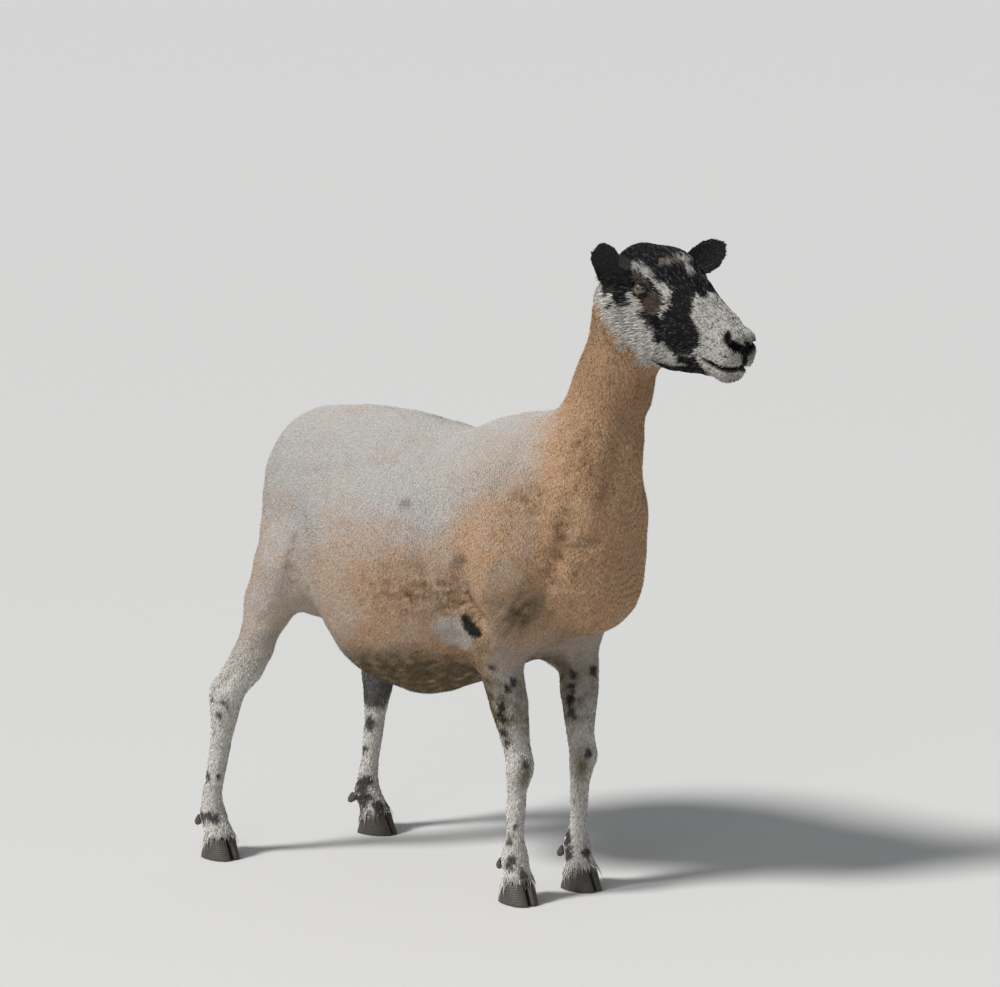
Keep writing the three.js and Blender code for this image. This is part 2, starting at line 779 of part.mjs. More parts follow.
// Half a hoof: the corners of its sole and of its top edge as [forward, sideways] from
// the middle of the foot, with its neighbour's wall at sideways 0.
const CLAW_SOLE = [
  [-31, 4], [-34, 13], [-29, 22], [-14, 26.5], [6, 26.5], [21, 22.5],
  [31, 15], [36, 7], [32, 2.5], [14, 1.5], [-10, 1.5], [-24, 2],
];
const CLAW_TOP = [
  [-23, 4], [-26, 12], [-22, 20], [-11, 24], [3, 24], [12, 20],
  [17, 13.5], [19, 7], [16, 3], [8, 1.5], [-6, 1.5], [-18, 2],
];
function makeClaw(sole, clawSide) {
  const slope = Math.tan(rad(CORONET.rise));
  const ringAt = (corners, t, swell) =>
    corners.map(([forward, sideways], i) => {
      const top = CLAW_TOP[i];
      const f = lerp(forward, top[0], t) * swell;
      const s = lerp(sideways, top[1], t);
      const [x, y] = ahead(sole, f, 0);
      const roof = CORONET.height + f * slope - JOINT_GAP * 1.1;
      const out = rad(sole.turn + 90);
      return new THREE.Vector3(
        x + clawSide * s * cos(out),
        y + clawSide * s * sin(out),
        t * roof,
      );
    });
  const rings = [ringAt(CLAW_SOLE, 0, 0.97), ringAt(CLAW_SOLE, 0.12, 1), ringAt(CLAW_SOLE, 1, 1)];
  if (clawSide > 0) rings.forEach((ring) => ring.reverse());
  return solid(loft(rings));
}

// A dewclaw is a blunt bud of horn behind the fetlock, one on each side.
const DEWCLAW_ROWS = [
  { out: 12, z: 66, radius: 8 },
  { out: 21, z: 60, radius: 8 },
  { out: 28, z: 54, radius: 6 },
  { out: 31, z: 51, radius: 3 },
];
function makeDewclaw(sole, bud) {
  const sides = 7;
  const sideways = rad(sole.turn + 90);
  const rings = DEWCLAW_ROWS.map(({ out, z, radius }) =>
    Array.from({ length: sides }, (_, i) => {
      const angle = ((i + 0.5) / sides) * 2 * PI;
      const [x, y] = ahead(sole, -sole.back - out - 0.6 * radius * sin(angle), 0);
      const across = bud * 12 - radius * cos(angle);
      return new THREE.Vector3(
        x + across * cos(sideways),
        y + across * sin(sideways),
        z + 0.8 * radius * sin(angle),
      );
    }),
  );
  return solid(loft(rings));
}

const trunk = makeTrunk();
const skullSolid = makeHead();
const eyes = { eye_left: eyeball(1), eye_right: eyeball(-1) };
const head = skullSolid
  .subtract(eyeball(1, JOINT_GAP))
  .subtract(eyeball(-1, JOINT_GAP));
add("trunk", trunk, FLEECE);
add("neck", makeNeck(), FLEECE);
add("head", head, FACE);
for (const [name, eye] of Object.entries(eyes)) add(name, eye, EYE, 0.1);
for (const [name, ear] of Object.entries(EARS))
  add(name, fittedTo(skullSolid, solid(makeEar(ear))), FACE);
add("tail", fittedTo(trunk, makeTail()), FLEECE);
for (const [name, sole] of Object.entries(SOLE)) {
  const leg = makeLeg(name);
  add(`leg_${name}`, leg, LEG_HAIR);
  for (const [place, bud] of [["outer", sole.side], ["inner", -sole.side]]) {
    add(`claw_${name}_${place}`, makeClaw(sole, bud), HORN, 0.5);
    add(`dewclaw_${name}_${place}`, fittedTo(leg, makeDewclaw(sole, bud)), HORN, 0.5);
  }
}

export default sheep;
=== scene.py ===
# %% [markdown]
# # A freshly shorn ewe
# The ewe stands life size on the floor, looking past her right shoulder. Her solid parts come
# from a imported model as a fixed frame: every piece made here sits on that frame, in metres,
# with +X towards her head, +Y to her left and +Z up.

# %% Load the frame
import math

import bmesh
import bpy
import numpy as np
from mathutils import Euler, Matrix, Vector


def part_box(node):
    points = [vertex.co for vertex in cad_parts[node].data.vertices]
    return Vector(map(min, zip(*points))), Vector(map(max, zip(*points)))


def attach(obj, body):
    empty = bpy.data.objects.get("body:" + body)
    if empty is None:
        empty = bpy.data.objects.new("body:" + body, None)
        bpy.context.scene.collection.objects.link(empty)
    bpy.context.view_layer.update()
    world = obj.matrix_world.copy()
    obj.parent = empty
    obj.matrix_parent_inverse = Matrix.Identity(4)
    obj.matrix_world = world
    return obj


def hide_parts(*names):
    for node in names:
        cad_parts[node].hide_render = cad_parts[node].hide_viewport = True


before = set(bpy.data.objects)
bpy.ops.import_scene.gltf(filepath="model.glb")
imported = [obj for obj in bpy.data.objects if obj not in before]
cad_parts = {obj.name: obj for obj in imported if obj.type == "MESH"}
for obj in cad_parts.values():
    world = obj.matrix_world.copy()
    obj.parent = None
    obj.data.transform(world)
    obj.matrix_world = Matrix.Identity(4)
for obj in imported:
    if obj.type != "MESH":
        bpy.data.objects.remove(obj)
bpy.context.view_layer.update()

# %% [markdown]
# The camera stands low and far off, at the ewe's front right, with a long lens. From there
# the body keeps its true proportions and the legs stand nearly straight.

# %% Camera
CAMERA_PLACE = Vector((3.4823, -4.3036, 1.4200))
CAMERA_VIEW = Vector((-0.62120, 0.77112, -0.13962))
LENS_MM = 126.0

bpy.ops.object.camera_add(location=CAMERA_PLACE)
camera = bpy.context.object
camera.rotation_euler = CAMERA_VIEW.to_track_quat("-Z", "Y").to_euler()
camera.data.lens = LENS_MM
camera.data.sensor_width = 36.0
camera.data.clip_end = 50000.0
bpy.context.scene.camera = camera
print("camera at", tuple(round(v, 2) for v in camera.location))

# %% [markdown]
# A plain pale floor, which runs to the horizon, and soft lamps make a studio. The key light
# comes from far off at the ewe's rear right, with a wide angle that makes its shadows soft.
# It lights the back and the flank and leaves the front of the chest in shade.

# %% Materials in general


def new_material(name):
    """A new material, with its node tree and its surface shader."""
    material = bpy.data.materials.new(name)
    material.use_nodes = True
    return material, material.node_tree, material.node_tree.nodes["Principled BSDF"]


# %% Floor and lights
FLOOR_SIZE = 40000.0
FLOOR_COLOUR = (0.72, 0.71, 0.69, 1)
KEY = {"heading": (0.30, 0.70, -0.74), "spread": 12.0, "power": 3.3}
FILL = {"place": (1.5, -4.6, 2.0), "size": 2.4, "power": 34, "colour": (1.0, 0.94, 0.88)}
FILL_AIM = (0, 0, 0.75)
SKY = {"colour": (0.88, 0.94, 1.0, 1), "strength": 0.25, "seen": (0.70, 0.695, 0.68, 1)}


def add_lamp(name, kind, place, heading, power):
    """A lamp that shines along a heading."""
    bpy.ops.object.light_add(type=kind, location=place)
    lamp = bpy.context.object
    lamp.name = name
    lamp.data.energy = power
    lamp.rotation_euler = Vector(heading).to_track_quat("-Z", "Y").to_euler()
    return lamp.data


bpy.ops.mesh.primitive_plane_add(size=FLOOR_SIZE, location=(0, 0, 0))
floor = bpy.context.object
floor.name = "studio_floor"
paint, _, shader = new_material("pale_floor")
shader.inputs["Base Color"].default_value = FLOOR_COLOUR
shader.inputs["Roughness"].default_value = 0.9
floor.data.materials.append(paint)
key = add_lamp("key_lamp", "SUN", (0, 0, 4), KEY["heading"], KEY["power"])
key.angle = math.radians(KEY["spread"])
fill_heading = Vector(FILL_AIM) - Vector(FILL["place"])
fill = add_lamp("fill_lamp", "AREA", FILL["place"], fill_heading, FILL["power"])
fill.size = FILL["size"]
fill.color = FILL["colour"]
print("floor and 2 lamps")

# %% Sky
# An even light from all round, which the camera sees as pale as the floor.
sky = bpy.data.worlds.new("studio_sky")
sky.use_nodes = True
nodes, links = sky.node_tree.nodes, sky.node_tree.links
light = nodes["Background"]
light.inputs["Color"].default_value = SKY["colour"]
light.inputs["Strength"].default_value = SKY["strength"]
seen = nodes.new("ShaderNodeBackground")
seen.inputs["Color"].default_value = SKY["seen"]
path = nodes.new("ShaderNodeLightPath")
either = nodes.new("ShaderNodeMixShader")
sources = (path.outputs["Is Camera Ray"], light.outputs[0], seen.outputs[0])
for socket, source in zip(either.inputs, sources):
    links.new(source, socket)
links.new(either.outputs[0], nodes["World Output"].inputs["Surface"])
bpy.context.scene.world = sky
bpy.context.scene.view_settings.view_transform = "Standard"
print("sky strength", SKY["strength"])

# %% [markdown]
# ## The skin
# On the living animal one skin runs over trunk, neck, head, tail and legs. It is made here
# as a sculptor would: the solid parts are copied and fused into one form with a voxel
# remesh, fine on the head and coarser on the body, and the two are sewn together in the
# neck. A smoothing that doesn't shrink then takes the flat facets away.

# %% Helpers for meshes


def select_only(*pieces):
    bpy.ops.object.select_all(action="DESELECT")
    for piece in pieces:
        piece.select_set(True)
    bpy.context.view_layer.objects.active = pieces[0]


def rows_of(items, field, width, kind=float):
    """One field of all items of a mesh, as an array with so many numbers to a row."""
    flat = np.zeros(len(items) * width, kind)
    items.foreach_get(field, flat)
    return flat.reshape(-1, width)


def places_of(piece):
    return rows_of(piece.data.vertices, "co", 3)


def normals_of(piece):
    return rows_of(piece.data.vertex_normals, "vector", 3, np.float32).astype(float)


def move_to(piece, places):
    piece.data.vertices.foreach_set("co", places.ravel())
    piece.data.update()


WELD = 2e-5  # metres: corners closer than this become one corner


def fused_copy(name, nodes, overlap):
    """Copies of solid parts in one object, each grown a little so that they overlap."""
    twins = []
    for node in nodes:
        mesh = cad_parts[node].data.copy()
        twin = bpy.data.objects.new(node + "_copy", mesh)
        bpy.context.scene.collection.objects.link(twin)
        form = bmesh.new()
        form.from_mesh(mesh)
        bmesh.ops.remove_doubles(form, verts=form.verts, dist=WELD)
        form.to_mesh(mesh)
        form.free()
        mesh.materials.clear()
        move_to(twin, places_of(twin) + overlap * normals_of(twin))
        twins.append(twin)
    select_only(*twins)
    if len(twins) > 1:
        bpy.ops.object.join()
    piece = bpy.context.object
    piece.name = name
    piece.data.name = name
    return piece


def voxel_remesh(piece, size):
    select_only(piece)
    remesh = piece.modifiers.new("even_faces", "REMESH")
    remesh.mode = "VOXEL"
    remesh.voxel_size = size
    bpy.ops.object.modifier_apply(modifier=remesh.name)


def neighbours(piece):
    """The two ends of every edge, and how many edges meet at each point."""
    ends = rows_of(piece.data.edges, "vertices", 2, int)
    return ends, np.bincount(ends.ravel(), minlength=len(piece.data.vertices))


def evened(values, ends, count, step):
    """Moves every row part of the way to the mean of its neighbours."""
    mean = np.empty_like(values)
    for axis in range(values.shape[1]):
        column = values[:, axis]
        total = np.bincount(ends[:, 0], column[ends[:, 1]], len(column))
        total += np.bincount(ends[:, 1], column[ends[:, 0]], len(column))
        mean[:, axis] = total / count
    return values + step * (mean - values)


SMOOTHING_STEPS = (0.60, -0.62)  # inwards, then a little more outwards


def smooth_keeping_size(piece, rounds):
    ends, count = neighbours(piece)
    places = places_of(piece)
    for _ in range(rounds):
        for step in SMOOTHING_STEPS:
            places = evened(places, ends, count, step)
    move_to(piece, places)


def report(piece):
    triangles = sum(len(face.vertices) - 2 for face in piece.data.polygons)
    print(f"{piece.name}: {len(piece.data.vertices)} points, {triangles} triangles")


# %% Fuse the body and the head
LEGS = ["front_right", "front_left", "hind_right", "hind_left"]
BODY_NODES = ["trunk", "neck", "tail"] + ["leg_" + leg for leg in LEGS]
HEAD_NODES = ["neck", "head", "ear_left", "ear_right"]
BODY_GRAIN = 0.0072
HEAD_GRAIN = 0.0026
OVERLAP = 0.0006

body = fused_copy("body_form", BODY_NODES + ["head"], OVERLAP)
voxel_remesh(body, BODY_GRAIN)
smooth_keeping_size(body, 14)
report(body)
head = fused_copy("head_form", HEAD_NODES, OVERLAP)
voxel_remesh(head, HEAD_GRAIN)
smooth_keeping_size(head, 26)
report(head)

# %% [markdown]
# The head is shaped in a frame of its own: f runs forwards along the face, l to the
# animal's left and u up from the line of the face, and its origin is midway between the
# eyes. Both sides are shaped at once, because only the distance from the middle counts.

# %% The head's frame
HEAD_PLACE = np.array([0.3495, -0.0040, 0.9850])
HEAD_TURN = Euler((0, math.radians(27), math.radians(-10)), "XYZ").to_matrix()
HEAD_AXES = np.array(HEAD_TURN)


def to_head(places):
    """Places in the head's own frame, in millimetres: f, l and u."""
    return (places - HEAD_PLACE) @ HEAD_AXES * 1000


def from_head(places):
    return places / 1000 @ HEAD_AXES.T + HEAD_PLACE


# %% Sew head and body together
SEAM_PLACE = Vector((0.2400, 0.0, 0.8300))
SEAM_NORMAL = Vector((0.50, 0.0, 0.866))


def cut_away(piece, place, normal, upper):
    """Cuts a piece with a plane and keeps the side below it, or above it."""
    form = bmesh.new()
    form.from_mesh(piece.data)
    everything = form.verts[:] + form.edges[:] + form.faces[:]
    bmesh.ops.bisect_plane(
        form, geom=everything, dist=1e-6, plane_co=place, plane_no=normal,
        clear_outer=not upper, clear_inner=upper,
    )
    form.to_mesh(piece.data)
    form.free()


def sew(upper, lower, name):
    select_only(lower, upper)
    bpy.ops.object.join()
    lower.name = name
    lower.data.name = name
    bpy.ops.object.mode_set(mode="EDIT")
    bpy.ops.mesh.select_mode(type="EDGE")
    bpy.ops.mesh.select_all(action="DESELECT")
    bpy.ops.mesh.select_non_manifold()
    bpy.ops.mesh.bridge_edge_loops()
    bpy.ops.mesh.select_all(action="SELECT")
    bpy.ops.mesh.normals_make_consistent(inside=False)
    bpy.ops.object.mode_set(mode="OBJECT")
    return lower


cut_away(head, SEAM_PLACE, SEAM_NORMAL, upper=True)
cut_away(body, SEAM_PLACE - 0.004 * SEAM_NORMAL, SEAM_NORMAL, upper=False)
skin = sew(head, body, "skin")
report(skin)

# %% [markdown]
# Waves are sums of many slow sine ripples in random directions. They stand in for the
# unevenness of everything alive, and because they depend on the place alone, the skin and
# the coat that grows on it see the same ones.

# %% Waves


def waves(places, size, seed, count=16):
    """Smooth random hills of about one size in metres, mostly between -1 and 1."""
    dice = np.random.default_rng(seed)
    headings = dice.normal(size=(count, 3))
    headings /= np.linalg.norm(headings, axis=1)[:, None]
    pace = 2 * np.pi / size * dice.uniform(0.6, 1.5, count)
    shift = dice.uniform(0, 2 * np.pi, count)
    hills = np.sin(places @ (headings * pace[:, None]).T + shift)
    return hills.sum(axis=1) / math.sqrt(count)


def ease(values, low, high):
    """0 below low, 1 above high, and a soft step between them."""
    t = np.clip((values - low) / (high - low), 0, 1)
    return t * t * (3 - 2 * t)


# %% [markdown]
# The face gets finer faces where it has fine forms: round the eyes and on the muzzle.

# %% Finer faces on the face
EYE = np.array([-10.0, 48.0, -3.0])  # middle of the eyeball: f, distance from the middle, u
EYE_RADIUS = 14.5


def mirrored(places):
    """Places with both sides laid on the left one."""
    return places * [1, 0, 1] + np.abs(places) * [0, 1, 0]


def refine(piece, wanted):
    """Splits each face that wanted(middles of faces) picks into four."""
    faces = piece.data.polygons
    picked = wanted(mirrored(to_head(rows_of(faces, "center", 3))))
    select_only(piece)
    bpy.ops.object.mode_set(mode="EDIT")
    bpy.ops.mesh.select_mode(type="FACE")
    bpy.ops.mesh.select_all(action="DESELECT")
    bpy.ops.object.mode_set(mode="OBJECT")
    faces.foreach_set("select", picked)
    bpy.ops.object.mode_set(mode="EDIT")
    bpy.ops.mesh.subdivide(number_cuts=1, smoothness=0)
    bpy.ops.object.mode_set(mode="OBJECT")


refine(skin, lambda q: (q[:, 0] > 145) & (q[:, 1] < 60))
for reach in (24, 19):
    refine(skin, lambda q: np.linalg.norm(q - EYE, axis=1) < reach)
report(skin)

# %% [markdown]
# The ears keep their width almost to the tip, so each one is widened there round its axis.

# %% Ear tips
EARS = {
    "right": {"base": np.array([-72, -53, -27]), "reach": np.array([12, -60, 80]), "growth": 0.12,
              "widest": 0.76, "blunt": 0.08},
    "left": {"base": np.array([-59, 55, -29]), "reach": np.array([16, 86, 80]), "growth": 0.20,
             "widest": 0.72, "blunt": 0.34},
}


def along_ear(places, name):
    """How far along an ear places are (0 base, 1 tip), and their rows off its axis."""
    ear = EARS[name]
    q = to_head(places) - ear["base"]
    along = q @ ear["reach"] / (ear["reach"] @ ear["reach"])
    return along, q - along[:, None] * ear["reach"]


def widen_ear_tips(piece):
    """Widens the outer half of each ear and blunts its tip."""
    for name in EARS:
        places = places_of(piece)
        along, off_axis = along_ear(places, name)
        near = (np.linalg.norm(off_axis, axis=1) < 34) & (along > 0.4) & (along < 1.2)
        widest = np.exp(-(((along - EARS[name]["widest"]) / 0.24) ** 2))
        growth = EARS[name]["growth"] * widest * near
        shift = growth[:, None] * off_axis
        back = EARS[name]["blunt"] * np.maximum(along - 0.86, 0) * near
        shift -= back[:, None] * EARS[name]["reach"]
        move_to(piece, places + shift @ HEAD_AXES.T / 1000)


widen_ear_tips(skin)
smooth_places = places_of(skin)
print("ear tips widened; markings go by these", len(smooth_places), "places")

# %% [markdown]
# The face is modelled like clay. A press moves the skin in or out in a soft round patch, and
# a crease does the same along a path. Each one is named after the form it makes.

# %% Clay tools


def press(q, middle, radii, height):
    """How far each place moves out for a soft round bump, or in for a hollow."""
    away = ((q - np.array(middle)) / np.array(radii)) ** 2
    return height * np.exp(-away.sum(axis=1))


def distance_to_path(q, path):
    nearest = np.full(len(q), np.inf)
    corners = np.array(path, float)
    for a, run in zip(corners, np.diff(corners, axis=0)):
        share = np.clip((q - a) @ run / max(run @ run, 1e-12), 0, 1)
        nearest = np.minimum(nearest, np.linalg.norm(q - a - share[:, None] * run, axis=1))
    return nearest


def crease(q, path, width, height):
    """The same as a press, all along a path."""
    return height * np.exp(-((distance_to_path(q, path) / width) ** 2))


def formed(q, place, size, height):
    """A form with one width is a crease along a path, and one with radii is a press."""
    return (crease if np.isscalar(size) else press)(q, place, size, height)


def relief_of(q, forms):
    return sum(formed(q, *form) for form in forms)


# %% Paths on the face
# Places on the face are f forward, the distance from the middle, and u up, in millimetres.
CHEEKBONE = [(-14, 54, -24), (20, 52, -24), (50, 46, -22)]
CHEEK_EDGE = [(88, 42, -8), (96, 44, -30), (92, 44, -56), (70, 42, -80)]
TEAR_GROOVE = [(10, 55, 6), (22, 53, 8), (36, 49, 6)]
NOSTRIL = [(161, 26, 17), (166, 30, 12), (177, 25, 9), (185, 15, 6), (188, 7, 4)]
NOSTRIL_RIM = [(158, 20, 24), (168, 19, 22), (178, 14, 19), (186, 8, 12)]
PHILTRUM = [(184, 0, 12), (190, 0, 2), (192, 0, -20)]
MOUTH = [(129, 33, -40), (143, 31, -40), (165, 31, -36), (184, 22, -32), (190, 0, -26)]
UPPER_LIP = [(132, 35, -31), (150, 35, -30), (168, 30, -26), (182, 18, -20), (190, 6, -16)]
LOWER_LIP = [(134, 30, -52), (152, 28, -54), (170, 22, -50), (182, 8, -46)]


def laid_on(q, path, step=3.0):
    """A path cut into short stretches whose ends are all laid on the nearest of places q."""
    laid = []
    for a, b in zip(np.array(path[:-1], float), np.array(path[1:], float)):
        pieces = max(1, round(np.linalg.norm(b - a) / step))
        for i in range(pieces):
            laid.append(a + (b - a) * i / pieces)
    laid.append(np.array(path[-1], float))
    return [q[np.argmin(((q - place) ** 2).sum(axis=1))] for place in laid]


face_places = mirrored(to_head(smooth_places))
NOSTRIL, MOUTH, PHILTRUM = (laid_on(face_places, path) for path in (NOSTRIL, MOUTH, PHILTRUM))
print("nostril, mouth and philtrum laid on the skin")

# %% Forms of the face
# Each form is a middle with its radii, or a path with its width, and then its height.
FACE_FORMS = [
    ((-12, 54, 20), (24, 12, 8), 3.0),  # brow
    (CHEEKBONE, 7, 1.6),
    ((-44, 52, 18), (16, 16, 14), -3.5),  # temple
    (TEAR_GROOVE, 2.6, -2.0),
    ((60, 44, 2), (22, 14, 14), -2.2),  # below the eye
    (CHEEK_EDGE, 9, -1.8),
    ((128, 34, -14), (18, 12, 14), -1.6),  # side of the muzzle
    (NOSTRIL, 4.4, -11.0),
    (NOSTRIL_RIM, 4.0, 1.8),
    (PHILTRUM, 2.6, -3.5),
    (UPPER_LIP, 7, 2.6),
    (MOUTH, 2.8, -8.0),
    ((178, 18, -40), (16, 16, 8), -2.0),  # between the lips
    (LOWER_LIP, 6, 1.2),
    ((120, 34, -40), (8, 8, 8), -1.5),  # corner of the mouth
]
NECK_OF_HEAD = -70  # f behind which the face's forms end


def push_out(piece, heights):
    """Moves every point along its normal, by a height in metres."""
    move_to(piece, places_of(piece) + heights[:, None] * normals_of(piece))


relief = relief_of(face_places, FACE_FORMS) / 1000
relief[face_places[:, 0] < NECK_OF_HEAD] = 0
push_out(skin, relief)
print("face modelled:", len(FACE_FORMS), "forms")

# %% [markdown]
# The eyelids are part of the skin. Near the eye the skin becomes a thin shell on the ball,
# and inside an almond-shaped opening it dips behind the ball's surface, so that the ball
# shows. The opening's long axis rises towards the nose, because the head hangs.

# %% Eyelids
EYE_GAZE = np.array([0.52, 0.78, 0.35])
EYE_GAZE /= np.linalg.norm(EYE_GAZE)
EYE_LENGTHWAYS = np.array([0.92, -0.30, 0.28])
EYE_LENGTHWAYS -= EYE_GAZE * (EYE_LENGTHWAYS @ EYE_GAZE)
EYE_LENGTHWAYS /= np.linalg.norm(EYE_LENGTHWAYS)
EYE_UPWAYS = np.cross(EYE_LENGTHWAYS, EYE_GAZE)
EYE_UPWAYS *= np.sign(EYE_UPWAYS[2])
LID = {"front": 14.0, "back": 14.5, "top": 6.6, "bottom": 6.8, "thick": 2.0}


def eye_rim(q):
    """How far out places lie, measured in openings of the eye: 1 is the lids' edge."""
    s, t = (q - EYE) @ EYE_LENGTHWAYS, (q - EYE) @ EYE_UPWAYS
    along = s / np.where(s > 0, LID["front"], LID["back"])
    across = t / np.where(t > 0, LID["top"], LID["bottom"])
    return np.sqrt(along**2 + across**2), t


def wrap_eyelids(piece):
    places = places_of(piece)
    head_places = to_head(places)
    q = mirrored(head_places) - EYE
    away = np.linalg.norm(q, axis=1)
    rim, t = eye_rim(q + EYE)
    facing = q @ EYE_GAZE > 0
    shell = EYE_RADIUS + LID["thick"] * ease(rim, 0.93, 1.12) - 3.2 * (1 - ease(rim, 0.86, 1.0))
    share = (1 - ease(rim, 1.15, 2.1)) * facing * (away < 26)
    fold = 1.2 * np.exp(-(((rim - 1.9) / 0.22) ** 2)) * (t > 0)
    wanted = away + share * (shell - away)
    wanted -= fold * facing * (away < 30)
    q *= (wanted / np.maximum(away, 1e-6))[:, None]
    q += EYE
    q[:, 1] *= np.where(head_places[:, 1] < 0, -1, 1)
    chosen = facing & (away < 30)
    places[chosen] = from_head(q[chosen])
    move_to(piece, places)


wrap_eyelids(skin)
print("eyelids opened")

# %% [markdown]
# The body has its own forms: the shoulder lies on the chest with a groove before and behind
# it, the flank is hollow in front of the thigh, and tendons and bones show on the legs.

# %% Forms of the body
# The same kinds of form in the ewe's own frame, in millimetres, each on both sides or once.
SHOULDER_FRONT = [(225, 93, 659), (225, 99, 614), (210, 104, 566), (192, 105, 533), (178, 103, 500)]
ELBOW_BACK = [(56, 155, 548), (55, 155, 520), (60, 150, 493), (86, 143, 464)]
CHEST_FOLD = [(236, -90, 588), (252, -80, 588), (264, -62, 598)]
THROAT_GROOVE = [(292, 30, 770), (282, 42, 715), (272, 54, 665)]
THIGH_FRONT = [(-282, 148, 590), (-300, 150, 540), (-312, 148, 475)]
BODY_FORMS = [
    ("both", SHOULDER_FRONT, 17, -7),
    ("both", ELBOW_BACK, 11, -14),
    ("once", CHEST_FOLD, 8, -4),
    ("both", THROAT_GROOVE, 20, -6),
    ("both", THIGH_FRONT, 13, -4),
    ("both", (150, 132, 580), (60, 40, 60), 6),  # shoulder
    ("both", (98, 140, 525), (34, 34, 70), 11),  # upper arm
    ("both", (52, 20, 772), (40, 60, 24), -7),  # before and behind the withers
    ("both", (126, 20, 786), (40, 60, 24), -6),
    ("both", (3, 30, 749), (26, 60, 16), 4),
    ("both", (158, 110, 478), (26, 30, 26), -8),  # front of the elbow
    ("both", (0, 165, 610), (34, 40, 70), -4),  # behind the shoulder
    ("both", (-200, 160, 668), (62, 40, 46), -6),  # hollow of the flank
    ("both", (-250, 96, 730), (34, 30, 24), 5),  # hip bone
    ("both", (236, 62, 640), (36, 40, 40), 4),  # breast
    ("both", (240, 50, 520), (40, 50, 50), 4),
    ("once", [(-418, -172, 322), (-436, -173, 296)], 8, -4),  # hocks
    ("once", [(-352, 172, 318), (-362, 173, 296)], 8, -4),
    ("once", (129, -80, 221), (14, 14, 18), 2.5),  # knees
    ("once", (153, 54, 225), (14, 14, 18), 2.5),
]
UNEVENNESS = {"height": 0.0007, "size": 0.05, "lowest": 0.35}

places = places_of(skin)
sides = {"once": places * 1000, "both": mirrored(places * 1000)}
relief = sum(formed(sides[side], *form) for side, *form in BODY_FORMS) / 1000
hills = UNEVENNESS["height"] * waves(places, UNEVENNESS["size"], 3)
push_out(skin, relief + hills * (places[:, 2] > UNEVENNESS["lowest"]))
print("body modelled:", len(BODY_FORMS), "forms")

# %% [markdown]
# The coat stands on the skin, so the skin lies deeper than the solid model's surface: about
# 6 mm under the shorn wool, and little on the face, the ears and the legs.

# %% Regions of the animal
HEAD_SIDE = {"place": np.array([0.3325, 0, 0.856]), "normal": np.array([0.725, 0, 0.689])}
NECK_SIDE = {"place": np.array([0.2195, 0, 0.728]), "normal": np.array([0.749, 0, 0.663])}
COAT_DEPTH = {"ears": 0.0008, "hair": 0.0018, "wool_more": 0.0042}


def beyond(places, plane):
    """How far places lie beyond a plane, in metres."""
    return (places - plane["place"]) @ plane["normal"]


def ear_share(places, name, with_base=False):
    """0 off an ear, rising to 1 at its tip. The base is the ear's root on the head."""
    along, off_axis = along_ear(places, name)
    off_axis = np.linalg.norm(off_axis, axis=1)
    on_ear = (off_axis < 36) & (along > 0.26)
    if with_base:
        on_ear |= (off_axis < 25) & (along > -0.05)
    return np.where(on_ear, np.clip(along, 0.02, 1), 0)


def on_ears(places, with_base=False):
    return np.maximum(*(ear_share(places, name, with_base) for name in EARS)) > 0


def near_legs(places, step):
    """1 near the legs, faded out by a soft step in height that each leg's box gives."""
    share = np.zeros(len(places))
    for leg in LEGS:
        low, high = (np.array(corner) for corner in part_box("leg_" + leg))
        within = np.all((places > low - 0.012) & (places < high + 0.012), axis=1)
        share = np.maximum(share, within * (1 - ease(places[:, 2], *step(low[2], high[2]))))
    return share


def on_legs(places):
    """1 on the lower legs, 0 on the body, and a soft step at the top of each leg."""
    return near_legs(places, lambda low, high: (high - 0.10, high))


def coat_depth(places):
    wool = (1 - ease(beyond(places, HEAD_SIDE), -0.03, 0.03)) * (1 - on_legs(places))
    depth = COAT_DEPTH["hair"] + COAT_DEPTH["wool_more"] * wool
    return np.where(on_ears(places), COAT_DEPTH["ears"], depth)


push_out(skin, -coat_depth(places_of(skin)) - OVERLAP)
report(skin)

# %% [markdown]
# ## Markings
# Five pigments colour the ewe: black hair, tan and rust in the wool, dirt, and bare skin.
# Some of them also carry painted shade: the rust in the creases, the dirt in the armpits and
# under the chest, the bare skin in the nostrils and the mouth, and the black on the far thigh.
# The black also holds painted sheen, as tufts with less black.
# Each is a share from 0 to 1 at every place. Skin and coat ask the same functions, so they
# always match, and every tuft takes the shares of its root.

# %% Places on the head
# The face is laid flat by f and the angle round the head: 0 is the bridge of the nose, 90
# the side and 180 the jaw.


def round_head(q):
    """The angle round the head in degrees, and the same on both sides."""
    return np.degrees(np.arctan2(np.abs(q[:, 1]), q[:, 2] + 15 + 0.06 * q[:, 0]))


def laid_flat(q):
    """The flat places (f, angle) of head places."""
    return np.stack([q[:, 0], round_head(q)], axis=1)


def inside(points, outline):
    """How far inside an outline each flat point is; negative outside."""
    closed = outline + outline[:1]
    nearest = distance_to_path(points, closed)
    crossed = np.zeros(len(points), bool)
    for (f, angle), (next_f, next_angle) in zip(closed, closed[1:]):
        spans = (angle > points[:, 1]) != (next_angle > points[:, 1])
        rise = (next_angle - angle) or 1e-9
        crossed ^= spans & (points[:, 0] < f + (points[:, 1] - angle) * (next_f - f) / rise)
    return np.where(crossed, nearest, -nearest)


